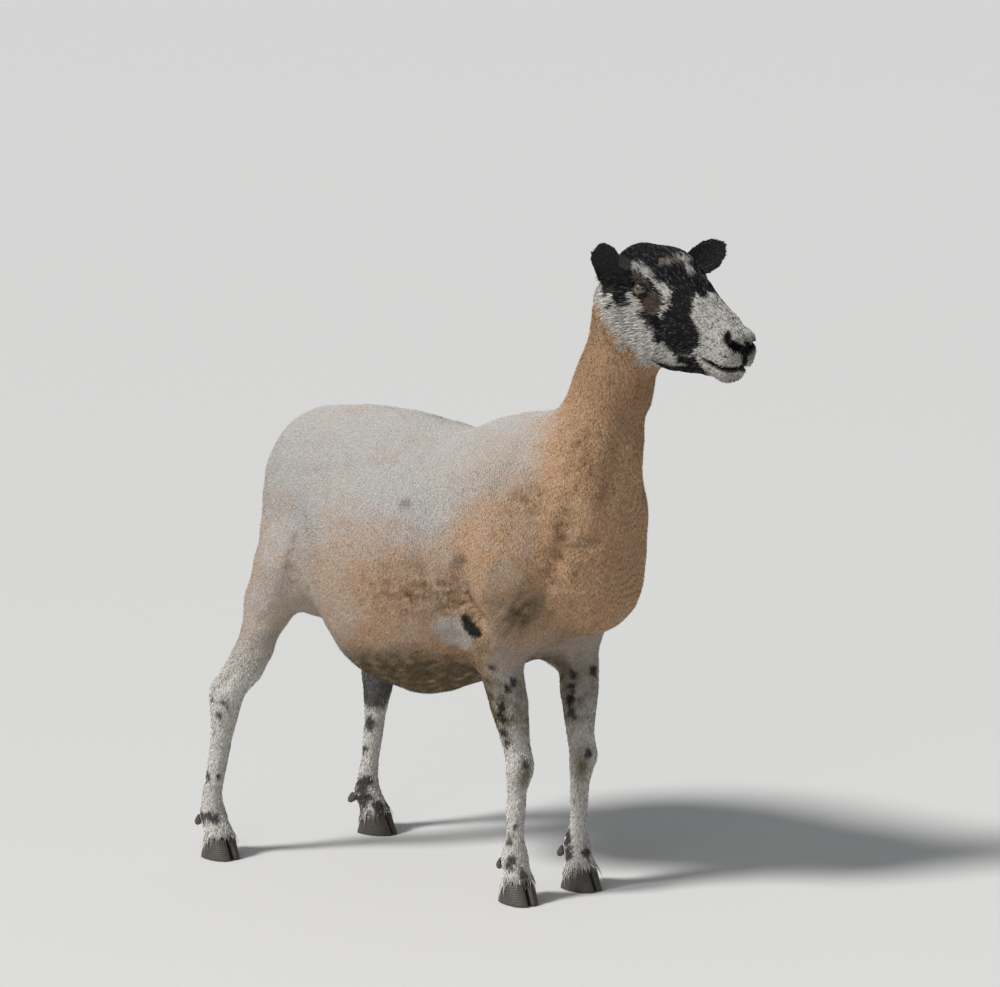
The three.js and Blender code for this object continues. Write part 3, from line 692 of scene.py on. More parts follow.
# %% Outlines of the face's markings
# Each outline or streak is a list of places (f, angle) on one side of the head.
BLACK_MASK = [
    (-120, -5), (66, -5), (82, 10), (74, 24), (84, 36), (90, 50), (102, 58), (112, 62), (122, 68),
    (124, 92), (118, 110), (110, 126), (90, 130), (70, 127), (54, 128), (44, 118), (30, 112),
    (14, 108), (2, 98), (-14, 104), (-24, 114), (-42, 117), (-52, 106), (-64, 94), (-120, 84),
]
BLACK_JAW = [
    (50, 160), (60, 185), (138, 185), (146, 152), (136, 130), (118, 126), (100, 132), (100, 142),
    (110, 150), (84, 152),
]
WHITE_BROW = [
    (-58, 68), (-44, 54), (-24, 47), (-2, 49), (0, 54), (-12, 57), (-24, 59), (-38, 68), (-48, 78),
]
WHITE_LID = [(-6, 50), (4, 47), (10, 51), (2, 56), (-6, 55)]
WHITE_FRONT = [(13, 54), (28, 47), (42, 49), (51, 62), (49, 88), (41, 84), (42, 68), (27, 58)]
WHITE_BEHIND = [(-20, 84), (-8, 84), (8, 91), (20, 96), (10, 101), (-4, 98), (-18, 92)]
BROWN_LID = [(-28, 66), (-16, 60), (6, 60), (14, 66), (14, 74), (-26, 74)]
BROWN_CHEEK = [(2, 83), (14, 72), (30, 62), (41, 70), (40, 88), (28, 99), (14, 94)]
GREY_CHEEK = [(-38, 110), (-24, 107), (-10, 112), (0, 122), (-6, 130), (-16, 128), (-30, 120)]
TAN_STREAK = [(-6, 30), (2, 22), (9, 13)]
WHITE_STREAK = [(0, 6), (18, 0), (34, 5)]

print("the face's markings: 9 outlines and 2 streaks to a side")

# %% Shares of the pigments


def patch(flat, outline, rough, edge=2.0):
    """The share of a marking: its outline, roughened, with a soft edge in millimetres."""
    return ease(inside(flat, outline) + rough, -edge, edge)


def spot(p, middle, radius, rough):
    """The share of a small round spot with a ragged edge, in millimetres."""
    away = np.linalg.norm(p - np.array(middle), axis=1)
    return 0.9 * ease(radius * (1 + 0.42 * rough) - away, -3, 2)


def cloud(places, middle, radii):
    """A soft patch with no edge, with its middle and radii in millimetres."""
    return press(places * 1000, middle, radii, 1.0)


def raised(share, q, forms):
    """A share raised to soft patches and lines, given as forms in millimetres."""
    for form in forms:
        share = np.maximum(share, formed(q, *form))
    return share


# %% Black hair
# A bleached mark lies within the black mask, and lacks that share of the black.
BLEACHED_MARKS = [
    (WHITE_BROW, 0.62), (WHITE_LID, 0.55), (WHITE_FRONT, 0.85), (WHITE_BEHIND, 0.85),
    (BROWN_LID, 0.27), (BROWN_CHEEK, 0.24),
]
BLEACHED_STREAKS = [(TAN_STREAK, 0.5), (WHITE_STREAK, 0.6)]
# Each spot on the legs is a place and a radius, in millimetres.
LEG_SPOTS = [
    (102, -105, 322, 9), (99, -101, 303, 9), (99, -94, 278, 8), (132, -80, 230, 6),
    (124, 48, 354, 7), (124, 46, 335, 8), (151, 76, 359, 10), (97, -121, 383, 6),
    (123, -96, 364, 7), (114, -105, 350, 6), (101, -94, 260, 7),
    (111, -82, 126, 6), (98, -84, 102, 7), (109, -86, 73, 9), (103, -87, 64, 8),
    (126, -76, 48, 8), (125, -78, 36, 7), (123, 45, 314, 9), (123, 45, 292, 11),
    (154, 53, 229, 7), (111, 53, 94, 8), (115, 45, 80, 10), (118, 46, 60, 12),
    (147, 64, 63, 9), (-432, -168, 268, 6), (-447, -170, 247, 7), (-465, -170, 273, 5),
    (-483, -163, 138, 8), (-460, -156, 139, 4), (-493, -166, 70, 9), (-478, -168, 69, 9),
    (-463, -161, 68, 9), (-381, 131, 193, 13), (-395, 134, 147, 8), (-397, 134, 250, 18),
    (-393, 130, 85, 18), (-395, 126, 62, 20), (-364, 137, 51, 13), (-363, 162, 50, 10),
    (-350, 172, 205, 11), (-372, 176, 118, 9), (96, 96, 160, 8), (118, -52, 168, 8),
    (-440, -125, 190, 9), (130, 92, 262, 10),
]

OVAL_SPOT = laid_on(smooth_places * 1000, [(58, -144, 459), (75, -140, 442)])


def white_patch(places):
    """The share of the bare white patch behind each elbow."""
    rough = 0.10 * waves(places, 0.02, 23)
    return ease(cloud(mirrored(places), (36, 138, 436), (40, 50, 30)) + rough, 0.20, 0.62)


def black_of_mask(places, flat, fine):
    """The black mask and jaw, with their bleached marks, and the grey of the cheek."""
    rough = 3.2 * waves(places, 0.024, 11) + 2.0 * waves(places, 0.009, 12)
    streaks = 0.5 * rough + 2.6 * fine
    share = np.maximum(patch(flat, BLACK_MASK, rough), patch(flat, BLACK_JAW, rough))
    for outline, bleach in BLEACHED_MARKS:
        share *= 1 - bleach * patch(flat, outline, streaks, 1.6)
    for path, bleach in BLEACHED_STREAKS:
        line = crease(flat, path, 4.2 + streaks, 1.0)
        share *= 1 - bleach * ease(line, 0.3, 0.8)
    return np.maximum(share, (0.36 + 0.14 * fine) * patch(flat, GREY_CHEEK, rough, 5))


def black_flecks(places, flat, fine):
    """Black flecks on the bridge of the nose and the muzzle, and faint ones elsewhere."""
    bridge = ease(flat[:, 0], 50, 78) * (1 - ease(flat[:, 0], 92, 128)) * (flat[:, 1] < 62)
    bridge = bridge * ease(fine + 0.7 * waves(places, 0.013, 14), 0.1, 0.8) * 0.8
    muzzle = ease(waves(places, 0.007, 15) + 0.6 * fine, 0.75, 1.35)
    muzzle = (0.66 * muzzle + 0.26 + 0.12 * fine) * (flat[:, 0] > 56)
    return np.maximum(np.maximum(bridge, muzzle), 0.05 + 0.09 * waves(places, 0.006, 18))


def black_of_legs(places, fine):
    """The spots of the legs, large ones by name and small ones by chance."""
    ragged = 0.5 * fine + 0.8 * waves(places, 0.012, 19)
    small = 0.75 * ease(waves(places, 0.014, 16) + 0.5 * fine, 1.6, 2.0)
    flecks = 0.5 * ease(waves(places, 0.006, 20) + 0.5 * fine, 1.1, 1.7)
    share = np.maximum(small, flecks) * on_legs(places)
    for *middle, radius in LEG_SPOTS:
        share = np.maximum(share, spot(places * 1000, middle, radius, ragged))
    return share


def black_of_body(places, fine):
    """The oval spot, the far thigh dark with hair and painted shade, the smudge on the flank and
    the belly's flecks.
    """
    oval = distance_to_path(places * 1000, OVAL_SPOT) - 0.8 * fine
    share = 0.97 * (1 - ease(oval, 10.5, 13))
    # The far hind thigh is dark hair and painted shade.
    far_thigh_hair_and_shade = ease(cloud(places, (-374, 133, 262), (44, 44, 44)) + 0.08 * fine, 0.3, 0.5)
    smudge = 0.35 * ease(cloud(places, (-50, -159, 639), (12, 30, 9)), 0.2, 0.8)
    share = np.maximum(np.maximum(share, 0.85 * far_thigh_hair_and_shade), smudge)
    share = np.maximum(share, (0.11 + 0.08 * fine) * white_patch(places))
    low_belly = ease(cloud(places, (-60, -90, 360), (190, 120, 62)), 0.25, 0.6)
    flecks = 0.7 * ease(waves(places, 0.008, 17), 1.5, 1.8) * low_belly
    return np.maximum(share, flecks * (1 - on_legs(places)))


def black_hair(places):
    fine = waves(places, 0.0045, 13)
    flat = laid_flat(to_head(places))
    face = np.maximum(black_of_mask(places, flat, fine), black_flecks(places, flat, fine))
    face *= ease(beyond(places, HEAD_SIDE), -0.010, 0.0)
    share = np.where(on_ears(places, with_base=True), 0.96, face)
    share = np.maximum(share, black_of_legs(places, fine))
    return np.clip(np.maximum(share, black_of_body(places, fine)), 0, 1)


# %% Tan, rust, dirt and bare skin, with painted shade
TAN_FLANK = [((0, 165, 510), (150, 60, 80), 0.95)]
# Rust, and painted shade in the creases of chest, throat, elbow and thigh.
CREASE_SHADE_AND_RUST_FORMS = [
    # painted shade in the shoulder's groove, with rust
    (SHOULDER_FRONT[2:4], 16, 0.45),
    ((216, 100, 585), (40, 40, 70), 0.42),
    # painted shade in the throat's groove
    (THROAT_GROOVE, 24, 0.22),
    # painted shade at the bottom of the elbow's crease
    ((42, 154, 492), (38, 40, 40), 0.75),
    ((-20, 168, 500), (100, 60, 50), 0.46),
    # painted shade in the fold in front of the thigh
    ((-306, 150, 520), (16, 30, 60), 0.25),
    ((245, 75, 735), (45, 50, 60), 0.34),
    ((159, 109, 655), (30, 40, 36), 0.40),
]
# Painted shade in the armpits and under the chest, behind and between the front legs.
CHEST_SHADE_FORMS = [
    ((150, -112, 474), (46, 38, 42), 0.75),
    ((150, 112, 474), (46, 38, 42), 0.75),
    ((66, -140, 410), (60, 60, 34), 0.55),
    ((150, 0, 440), (60, 50, 40), 0.5),
]
# Bare dark skin, with painted shade in the nostrils and along the mouth's line.
BARE_AND_RECESS_SHADE_FORMS = [
    (NOSTRIL, 7.0, 1.3),
    (PHILTRUM, 5.0, 1.3),
    (MOUTH[2:], 3.1, 1.2),
    ((189, 0, 4), (12, 15, 15), 1.2),
]


def tan_wool(places):
    """The share of warm tan in the wool: little on the back, most on neck and chest."""
    x, z = places[:, 0] * 1000, places[:, 2] * 1000
    top = 655 + 125 * ease(x, -20, 150)
    low = 1 - ease(z - top, -150, 0)
    share = (0.35 + 0.5 * ease(x, -270, -120)) * low
    share = np.maximum(share, 1.12 * ease(x, 85, 205))
    share = raised(share, mirrored(places * 1000), TAN_FLANK)
    share += 0.13 * waves(places, 0.09, 21) + 0.08 * waves(places, 0.03, 22)
    cream = 0.30 * ease(x, -40, 110) * (1 - ease(z, 730, 785))
    share = np.maximum(share, cream) * (1 - 0.75 * white_patch(places))
    wander = 0.012 * waves(places, 0.03, 24)
    cheek = ease(beyond(places, HEAD_SIDE) + wander, -0.012, 0.018)
    hem = z - 300 - 45 * ease(x, 60, 110)
    return np.clip(share * (1 - cheek) * ease(hem, 0, 110), 0, 1)


def rust_of_face(places):
    """The brown of the lid and the cheek, and the tan streak of the forehead."""
    flat = laid_flat(to_head(places))
    rough = 2.0 * waves(places, 0.012, 32)
    share = 0.6 * crease(flat, TAN_STREAK, 4.5 + rough, 1.0) * (flat[:, 0] > -40)
    for outline in (BROWN_LID, BROWN_CHEEK):
        share = np.maximum(share, 0.85 * patch(flat, outline, rough) * (flat[:, 0] > -70))
    return share


def rust_and_crease_shade(places):
    """The share of rusty wool on the neck, shoulder, flank and belly, and of painted shade in
    the creases of chest, throat, elbow and thigh.
    """
    share = raised(0, mirrored(places * 1000), CREASE_SHADE_AND_RUST_FORMS)
    under = ease(cloud(places, (-60, 0, 350), (200, 170, 70)), 0.1, 0.6)
    share = np.maximum(share, 0.45 * under)
    share *= 1 + 0.45 * waves(places, 0.028, 31) + 0.75 * waves(places, 0.009, 33)
    share = np.maximum(share, 0.44 * ease(beyond(places, NECK_SIDE), -0.01, 0.12))
    share *= (1 - on_legs(places)) * (1 - 0.9 * white_patch(places))
    share *= 1 - ease(beyond(places, HEAD_SIDE), -0.03, 0.01)
    return np.clip(np.maximum(share, rust_of_face(places)), 0, 1)


def dirt_and_shade(places):
    """The share of dirt under the belly and on the knees, and of painted shade in the armpits
    and under the chest.
    """
    share = 0.92 * ease(cloud(places, (-70, 0, 318), (230, 320, 92)), 0.14, 0.70)
    share = raised(share, places * 1000, CHEST_SHADE_FORMS)
    share += 0.35 * share * waves(places, 0.022, 41)
    knees = cloud(places, (131, -80, 208), (16, 14, 26))
    knees += cloud(places, (145, 48, 206), (14, 14, 30))
    return np.clip(np.maximum(share, 0.9 * knees) * (1 - 0.9 * white_patch(places)), 0, 1)


def bare_skin_and_recess_shade(places):
    """The share of bare dark skin on the nose pad, the philtrum, the lips and the lids' rims, and
    of painted shade in the nostrils and along the mouth's line.
    """
    q = mirrored(to_head(places))
    share = raised(0, q, BARE_AND_RECESS_SHADE_FORMS)
    facing = ((q - EYE) @ EYE_GAZE > 0) & (np.linalg.norm(q - EYE, axis=1) < 26)
    share = np.maximum(share, 0.9 * (1 - ease(eye_rim(q)[0], 1.02, 1.30)) * facing)
    return np.clip(share, 0, 1)


# %% Keep the shares with a mesh
# Rust, dirt and bare skin also carry painted shade: in creases, armpits, nostrils and mouth.
PIGMENTS = {
    "black_hair": black_hair, "tan_wool": tan_wool, "rust_and_crease_shade": rust_and_crease_shade, "dirt_and_shade": dirt_and_shade,
    "bare_skin_and_recess_shade": bare_skin_and_recess_shade,
}


def wool_share(places):
    """1 where shorn wool grows, 0 where short hair does."""
    return (1 - ease(beyond(places, HEAD_SIDE), -0.02, 0.02)) * (1 - on_legs(places))


def store(piece, name, values):
    """Keeps one number per point with the mesh, for its material to read."""
    layer = piece.data.attributes.new(name, "FLOAT", "POINT")
    layer.data.foreach_set("value", values.astype(np.float32))


def store_pigments(piece, places, repeat=1, grey_hair_and_sheen=1.0):
    """Keeps the shares of all pigments, worked out at places, with a piece. The last argument
    lightens the black tuft by tuft, for grey hairs and painted sheen.
    """
    for name, share in PIGMENTS.items():
        values = share(places) * (grey_hair_and_sheen if name == "black_hair" else 1.0)
        store(piece, name, np.repeat(values, repeat))
    store(piece, "wool", np.repeat(wool_share(places), repeat))


store_pigments(skin, smooth_places)
print("pigments on the skin:", ", ".join(PIGMENTS))

# %% [markdown]
# ## Materials
# One node group mixes the pigments into a colour. It takes the shares as inputs, so the
# skin and every coat piece use it with their own values, and it adds fine speckles. It also
# scales the colour by height: painted shade at a tuft's root and painted light at its tip.

# %% Node helpers


def linked(tree, kind, **inputs):
    """Adds a node and sets its inputs, by name or as _number, to a socket or a value."""
    node = tree.nodes.new(kind)
    if kind == "ShaderNodeMix":
        node.data_type = "RGBA"
    for name, value in inputs.items():
        socket = node.inputs[int(name[1:])] if name[0] == "_" else node.inputs[name]
        if isinstance(value, bpy.types.NodeSocket):
            tree.links.new(value, socket)
        else:
            socket.default_value = value
    return node


def mixed(tree, share, first, second):
    return linked(tree, "ShaderNodeMix", _0=share, _6=first, _7=second).outputs[2]


def maths(tree, operation, first, second):
    node = linked(tree, "ShaderNodeMath", _0=first, _1=second)
    node.operation = operation
    return node.outputs[0]


def noise(tree, vector, scale, detail=2.0):
    node = linked(tree, "ShaderNodeTexNoise", Vector=vector, Scale=scale, Detail=detail)
    return node.outputs["Fac"]


def ranged(tree, value, low, high, new_low, new_high):
    values = {"_0": value, "_1": low, "_2": high, "_3": new_low, "_4": new_high}
    return linked(tree, "ShaderNodeMapRange", **values).outputs[0]


def add_bump(tree, height, strength, distance):
    """Fine relief on a material's surface."""
    bump = linked(tree, "ShaderNodeBump", Height=height, Strength=strength, Distance=distance)
    tree.links.new(bump.outputs["Normal"], tree.nodes["Principled BSDF"].inputs["Normal"])


def object_place(tree):
    return tree.nodes.new("ShaderNodeTexCoord").outputs["Object"]


# %% The pigment group
CREAM = (0.585, 0.560, 0.530, 1)
WHITE_HAIR = (0.67, 0.645, 0.60, 1)
TAN = (0.60, 0.392, 0.242, 1)
# Rust, and also the colour of painted shade in the creases.
RUST_AND_CREASE_SHADE = (0.235, 0.132, 0.062, 1)
# Dirt, and also the colour of painted shade in the armpits and under the chest.
DIRT_AND_SHADE = (0.16, 0.118, 0.058, 1)
BLACK = (0.008, 0.008, 0.010, 1)
# Bare skin, and also the colour of painted shade in the nostrils and the mouth.
BARE_AND_RECESS_SHADE = (0.012, 0.010, 0.010, 1)
PIGMENT_COLOURS = {"Tan": TAN, "RustAndCreaseShade": RUST_AND_CREASE_SHADE, "DirtAndShade": DIRT_AND_SHADE, "Black": BLACK, "BareAndRecessShade": BARE_AND_RECESS_SHADE}
SPECKLE = {"scale": 420.0, "darkest": 0.84, "lightest": 1.10}
# Painted shade darkens a tuft towards its root, and painted light brightens its tip.
ROOT_PAINTED_SHADE, TIP_PAINTED_LIGHT = 0.40, 1.42  # brightness at height 0 and at height 1


def pigment_group():
    group = bpy.data.node_groups.new("pigments", "ShaderNodeTree")
    face = group.interface
    for name in ("Wool", "Black", "Tan", "RustAndCreaseShade", "DirtAndShade", "BareAndRecessShade", "Height"):
        face.new_socket(name, in_out="INPUT", socket_type="NodeSocketFloat")
    face.new_socket("Vector", in_out="INPUT", socket_type="NodeSocketVector")
    face.new_socket("Color", in_out="OUTPUT", socket_type="NodeSocketColor")
    given = group.nodes.new("NodeGroupInput").outputs
    made = group.nodes.new("NodeGroupOutput")
    colour = mixed(group, given["Wool"], WHITE_HAIR, CREAM)
    for name, tone in PIGMENT_COLOURS.items():
        colour = mixed(group, given[name], colour, tone)
    speckle = noise(group, given["Vector"], SPECKLE["scale"], 3.0)
    shade = ranged(group, speckle, 0.3, 0.7, SPECKLE["darkest"], SPECKLE["lightest"])
    # painted shade at the root, painted light at the tip
    tip = ranged(group, given["Height"], 0.0, 1.0, ROOT_PAINTED_SHADE, TIP_PAINTED_LIGHT)
    lit = linked(group, "ShaderNodeVectorMath", _0=colour)
    lit.operation = "SCALE"
    group.links.new(maths(group, "MULTIPLY", shade, tip), lit.inputs["Scale"])
    group.links.new(lit.outputs[0], made.inputs["Color"])
    return group


pigments = pigment_group()
print("pigment group made:", len(pigments.nodes), "nodes")

# %% The material of skin and coat
KEPT = {
    "Wool": "wool", "Black": "black_hair", "Tan": "tan_wool", "RustAndCreaseShade": "rust_and_crease_shade",
    "DirtAndShade": "dirt_and_shade", "BareAndRecessShade": "bare_skin_and_recess_shade", "Height": "height",
}


def read(tree, name):
    """One of the numbers kept with the mesh."""
    node = tree.nodes.new("ShaderNodeAttribute")
    node.attribute_name = name
    return node.outputs["Fac"]


def hair_material(name, roughness, grain, strength):
    """Skin or coat: the pigment group's colour and a fine bump."""
    material, tree, shader = new_material(name)
    place = object_place(tree)
    group = tree.nodes.new("ShaderNodeGroup")
    group.node_tree = pigments
    for socket, kept in KEPT.items():
        tree.links.new(read(tree, kept), group.inputs[socket])
    tree.links.new(place, group.inputs["Vector"])
    tree.links.new(group.outputs["Color"], shader.inputs["Base Color"])
    add_bump(tree, noise(tree, place, grain, 3.0), strength, 0.002)
    shader.inputs["Roughness"].default_value = roughness
    shader.inputs["Specular IOR Level"].default_value = 0.12
    return material


# Painted shade: the skin under the coat is darker than the tufts on it.
SKIN_PAINTED_SHADE = 0.3  # the skin is a little darker than the tufts on it
skin_material = hair_material("shorn_skin", 0.75, 900.0, 0.5)
store(skin, "height", np.full(len(skin.data.vertices), SKIN_PAINTED_SHADE))
skin.data.materials.append(skin_material)
skin.data.shade_smooth()
print("skin material:", skin_material.name)

# %% [markdown]
# ## Eyes
# A ewe's eye is amber, with a dark pupil that is a level slot. The ball is a sphere with a
# slightly raised cornea, and its material is drawn round the axis of the gaze.

# %% Eyeballs
PUPIL = {"half_length": 0.0062, "half_height": 0.0024}
IRIS_RADIUS = 0.0104
CORNEA = {"rise": 0.07, "top": 20, "edge": 48}  # share of the radius, and degrees off the gaze
IRIS_DARK, IRIS_LIGHT = (0.055, 0.035, 0.019, 1), (0.14, 0.105, 0.062, 1)
IRIS_EDGE = (0.045, 0.03, 0.02, 1)
# The white of the eye is painted dark brown, as shade under the lids.
SHADED_EYE_WHITE = (0.030, 0.018, 0.014, 1)
PUPIL_BLACK = (0.004, 0.004, 0.006, 1)


def gaze_frame(side):
    """The eyeball's middle and turn: x along the pupil, y up, z along the gaze."""
    flip = np.array([1, side, 1])
    gaze = Vector(HEAD_AXES @ (EYE_GAZE * flip)).normalized()
    level = Vector((0, 0, 1)).cross(gaze).normalized()
    turn = Matrix((level, gaze.cross(level), gaze)).transposed()
    return Vector(from_head(EYE * flip)), turn


def squared(tree, value, size):
    return maths(tree, "POWER", maths(tree, "DIVIDE", value, size), 2.0)


def eye_material(name, middle, turn):
    """Dark pupil, amber iris and a dark brown white-of-the-eye, which is painted shade, drawn in
    the eye's own frame.
    """
    material, tree, shader = new_material(name)
    mapping = linked(tree, "ShaderNodeMapping", Vector=object_place(tree), Location=middle)
    mapping.vector_type = "TEXTURE"
    mapping.inputs["Rotation"].default_value = turn.to_euler()
    parts = linked(tree, "ShaderNodeSeparateXYZ", Vector=mapping.outputs[0])
    x, y = parts.outputs["X"], parts.outputs["Y"]
    ring = maths(tree, "ADD", squared(tree, x, IRIS_RADIUS), squared(tree, y, IRIS_RADIUS))
    slot_x = maths(tree, "POWER", squared(tree, x, PUPIL["half_length"]), 2.0)
    slot = maths(tree, "ADD", slot_x, squared(tree, y, PUPIL["half_height"]))
    streaks = ranged(tree, noise(tree, mapping.outputs[0], 700.0, 4.0), 0.35, 0.65, 0, 1)
    colour = mixed(tree, streaks, IRIS_DARK, IRIS_LIGHT)
    colour = mixed(tree, ranged(tree, ring, 0.55, 1.0, 0, 1), colour, IRIS_EDGE)
    colour = mixed(tree, ranged(tree, ring, 0.95, 1.1, 0, 1), colour, SHADED_EYE_WHITE)
    colour = mixed(tree, ranged(tree, slot, 0.8, 1.1, 1, 0), colour, PUPIL_BLACK)
    tree.links.new(colour, shader.inputs["Base Color"])
    shader.inputs["Roughness"].default_value = 0.06
    shader.inputs["Coat Weight"].default_value = 0.6
    return material


def add_eye(name, side):
    middle, turn = gaze_frame(side)
    bpy.ops.mesh.primitive_uv_sphere_add(segments=48, ring_count=32, radius=EYE_RADIUS / 1000)
    eye = bpy.context.object
    eye.name = name
    places = places_of(eye)
    away = np.degrees(np.arccos(np.clip(places[:, 2] / (EYE_RADIUS / 1000), -1, 1)))
    rise = CORNEA["rise"] * (1 - ease(away, CORNEA["top"], CORNEA["edge"]))
    places *= (1 + rise)[:, None]
    move_to(eye, places)
    eye.data.transform(Matrix.Translation(middle) @ turn.to_4x4())
    eye.data.shade_smooth()
    eye.data.materials.append(eye_material(name + "_surface", middle, turn))
    report(eye)
    return eye


eyes = {"right": add_eye("eyeball_right", -1), "left": add_eye("eyeball_left", 1)}

# %% [markdown]
# ## Hooves
# The claws are hard horn. They keep the solid model's shape, with a small bevel on their
# edges and the growth rings of real hooves.

# %% Claws
HORN_DARK, HORN_LIGHT = (0.016, 0.013, 0.012, 1), (0.085, 0.070, 0.058, 1)
HORN_RING = (0.13, 0.11, 0.09, 1)
CLAW_BEVEL = {"width": 0.0024, "segments": 3, "angle": 38}


def horn_material():
    material, tree, shader = new_material("hoof_horn")
    place = object_place(tree)
    rings = linked(tree, "ShaderNodeTexWave", Vector=place, Scale=90.0, Distortion=2.0, Detail=2.0)
    rings.bands_direction = "Z"
    ring = rings.outputs["Fac"]
    colour = mixed(tree, noise(tree, place, 160.0, 4.0), HORN_DARK, HORN_LIGHT)
    colour = mixed(tree, ranged(tree, ring, 0, 1, 0, 0.25), colour, HORN_RING)
    tree.links.new(colour, shader.inputs["Base Color"])
    add_bump(tree, ring, 0.3, 0.001)
    shader.inputs["Roughness"].default_value = 0.55
    return material


horn = horn_material()


def add_claw(node):
    """A claw of the solid model with its edges bevelled."""
    claw = fused_copy("horn_" + node, [node], 0.0)
    select_only(claw)
    bevel = claw.modifiers.new("edges", "BEVEL")
    bevel.width = CLAW_BEVEL["width"]
    bevel.segments = CLAW_BEVEL["segments"]
    bevel.limit_method = "ANGLE"
    bevel.angle_limit = math.radians(CLAW_BEVEL["angle"])
    bpy.ops.object.modifier_apply(modifier=bevel.name)
    bpy.ops.object.shade_smooth_by_angle(angle=math.radians(50))
    claw.data.materials.append(horn)
    return claw


claws = []
for leg in LEGS:
    for part in ("claw", "dewclaw"):
        for side in ("outer", "inner"):
            node = f"{part}_{leg}_{side}"
            claws.append((node, add_claw(node)))
print(len(claws), "claws and dewclaws")

# %% [markdown]
# ## The coat
# The coat is made of many thousands of small tufts. Each one is a thin spike with three
# sides, rooted in the skin, and it lies along the body in the direction the hair grows. Hair
# tufts are bent once, and the short tufts of shorn wool are straight.

# %% Lie of the coat


def unit(rows):
    return rows / np.maximum(np.linalg.norm(rows, axis=1), 1e-9)[:, None]


BODY_LIE, NECK_LIE, LEG_LIE = np.array([[-0.50, 0, -0.86], [-0.42, 0, -0.9], [0, 0, -1]])


def turned(lie, share, towards):
    return lie * (1 - share)[:, None] + share[:, None] * towards


def lie_of_coat(places, normals):
    """The direction that the hair lies in, along the surface."""
    lie = np.tile(BODY_LIE, (len(places), 1))
    lie = turned(lie, ease(beyond(places, NECK_SIDE), -0.06, 0.04), NECK_LIE)
    lie = turned(lie, on_legs(places), LEG_LIE)
    cheek = ease(round_head(to_head(places)), 40, 110)[:, None]
    back = -HEAD_AXES[:, 0] * (1 - 0.35 * cheek) - HEAD_AXES[:, 2] * 0.55 * cheek
    lie = turned(lie, ease(beyond(places, HEAD_SIDE), -0.02, 0.03), back)
    for name, ear in EARS.items():
        share = (ear_share(places, name) > 0)[:, None]
        lie = np.where(share, HEAD_AXES @ (ear["reach"] / np.linalg.norm(ear["reach"])), lie)
    lie = lie - (lie * normals).sum(axis=1)[:, None] * normals
    return unit(lie)


# %% Roots


def skin_triangles(piece):
    """The corner numbers and the corners' map places of all triangles."""
    piece.data.calc_loop_triangles()
    triangles = piece.data.loop_triangles
    spots = rows_of(piece.data.uv_layers.active.data, "uv", 2)
    return rows_of(triangles, "vertices", 3, int), spots[rows_of(triangles, "loops", 3, int)]


def scatter(spacing_of, seed):
    """Root places about one spacing apart, with normals, map places and marking places."""
    dice = np.random.default_rng(seed)
    places, normals = places_of(skin), normals_of(skin)
    corners, corner_maps = skin_triangles(skin)
    a, b, c = (places[corners[:, i]] for i in range(3))
    areas = np.linalg.norm(np.cross(b - a, c - a), axis=1) / 2
    spacing = spacing_of((a + b + c) / 3)
    wanted = 3.0 * areas / spacing**2
    count = np.floor(wanted + dice.random(len(wanted))).astype(int)
    chosen = np.repeat(np.arange(len(count)), count)
    mix = dice.dirichlet((1, 1, 1), len(chosen))
    roots = (places[corners[chosen]] * mix[:, :, None]).sum(axis=1)
    outward = unit((normals[corners[chosen]] * mix[:, :, None]).sum(axis=1))
    maps = (corner_maps[chosen] * mix[:, :, None]).sum(axis=1)
    marks = (smooth_places[corners[chosen]] * mix[:, :, None]).sum(axis=1)
    order = dice.permutation(len(roots))
    cells = np.floor(roots[order] / spacing_of(roots[order])[:, None]).astype(int)
    _, first = np.unique(cells, axis=0, return_index=True)
    kept = order[first]
    return roots[kept], outward[kept], maps[kept], marks[kept]


ROOT_SEED = 5
WOOL_SPACING, HAIR_SPACING, CLOSER_ON_FACE = 0.0022, 0.0036, 0.0011


def tuft_spacing(places):
    wool = wool_share(places)
    face = ease(beyond(places, HEAD_SIDE), 0.0, 0.03)
    return WOOL_SPACING * wool + (1 - wool) * (HAIR_SPACING - CLOSER_ON_FACE * face)


# %% Where tufts differ


def cheek_ruff(places):
    """1 where the hair is longest on the head: low on the cheek and on the throat."""
    q = mirrored(to_head(places))
    away = ((q - np.array([0, 30, -72])) / np.array([62, 46, 42])) ** 2
    return np.exp(-away.sum(axis=1)) * (beyond(places, HEAD_SIDE) > 0)


def hem_of_legs(places):
    """1 at the lower edge of each leg, where long hair hangs over the hoof."""
    return near_legs(places, lambda low, high: (low + 0.008, low + 0.030))


ROW_WIDTH = 0.0056


def shear_rows(places):
    """The rows that the shearing comb leaves: upright ripples about 6 mm apart."""
    wander = 0.008 * waves(places, 0.16, 51)
    strength = ease(waves(places, 0.12, 52), -0.6, 0.8)
    across = places[:, 0] + 0.25 * places[:, 2] + wander
    return strength * np.sin(2 * np.pi * across / ROW_WIDTH)


def kinds_of_place(roots):
    """What grows at each root: shares of wool, face, ears, cheek ruff and hem of the leg."""
    return {
        "wool": wool_share(roots),
        "face": ease(beyond(roots, HEAD_SIDE), 0.0, 0.03),
        "ears": on_ears(roots),
        "ruff": cheek_ruff(roots),
        "hem": hem_of_legs(roots),
    }


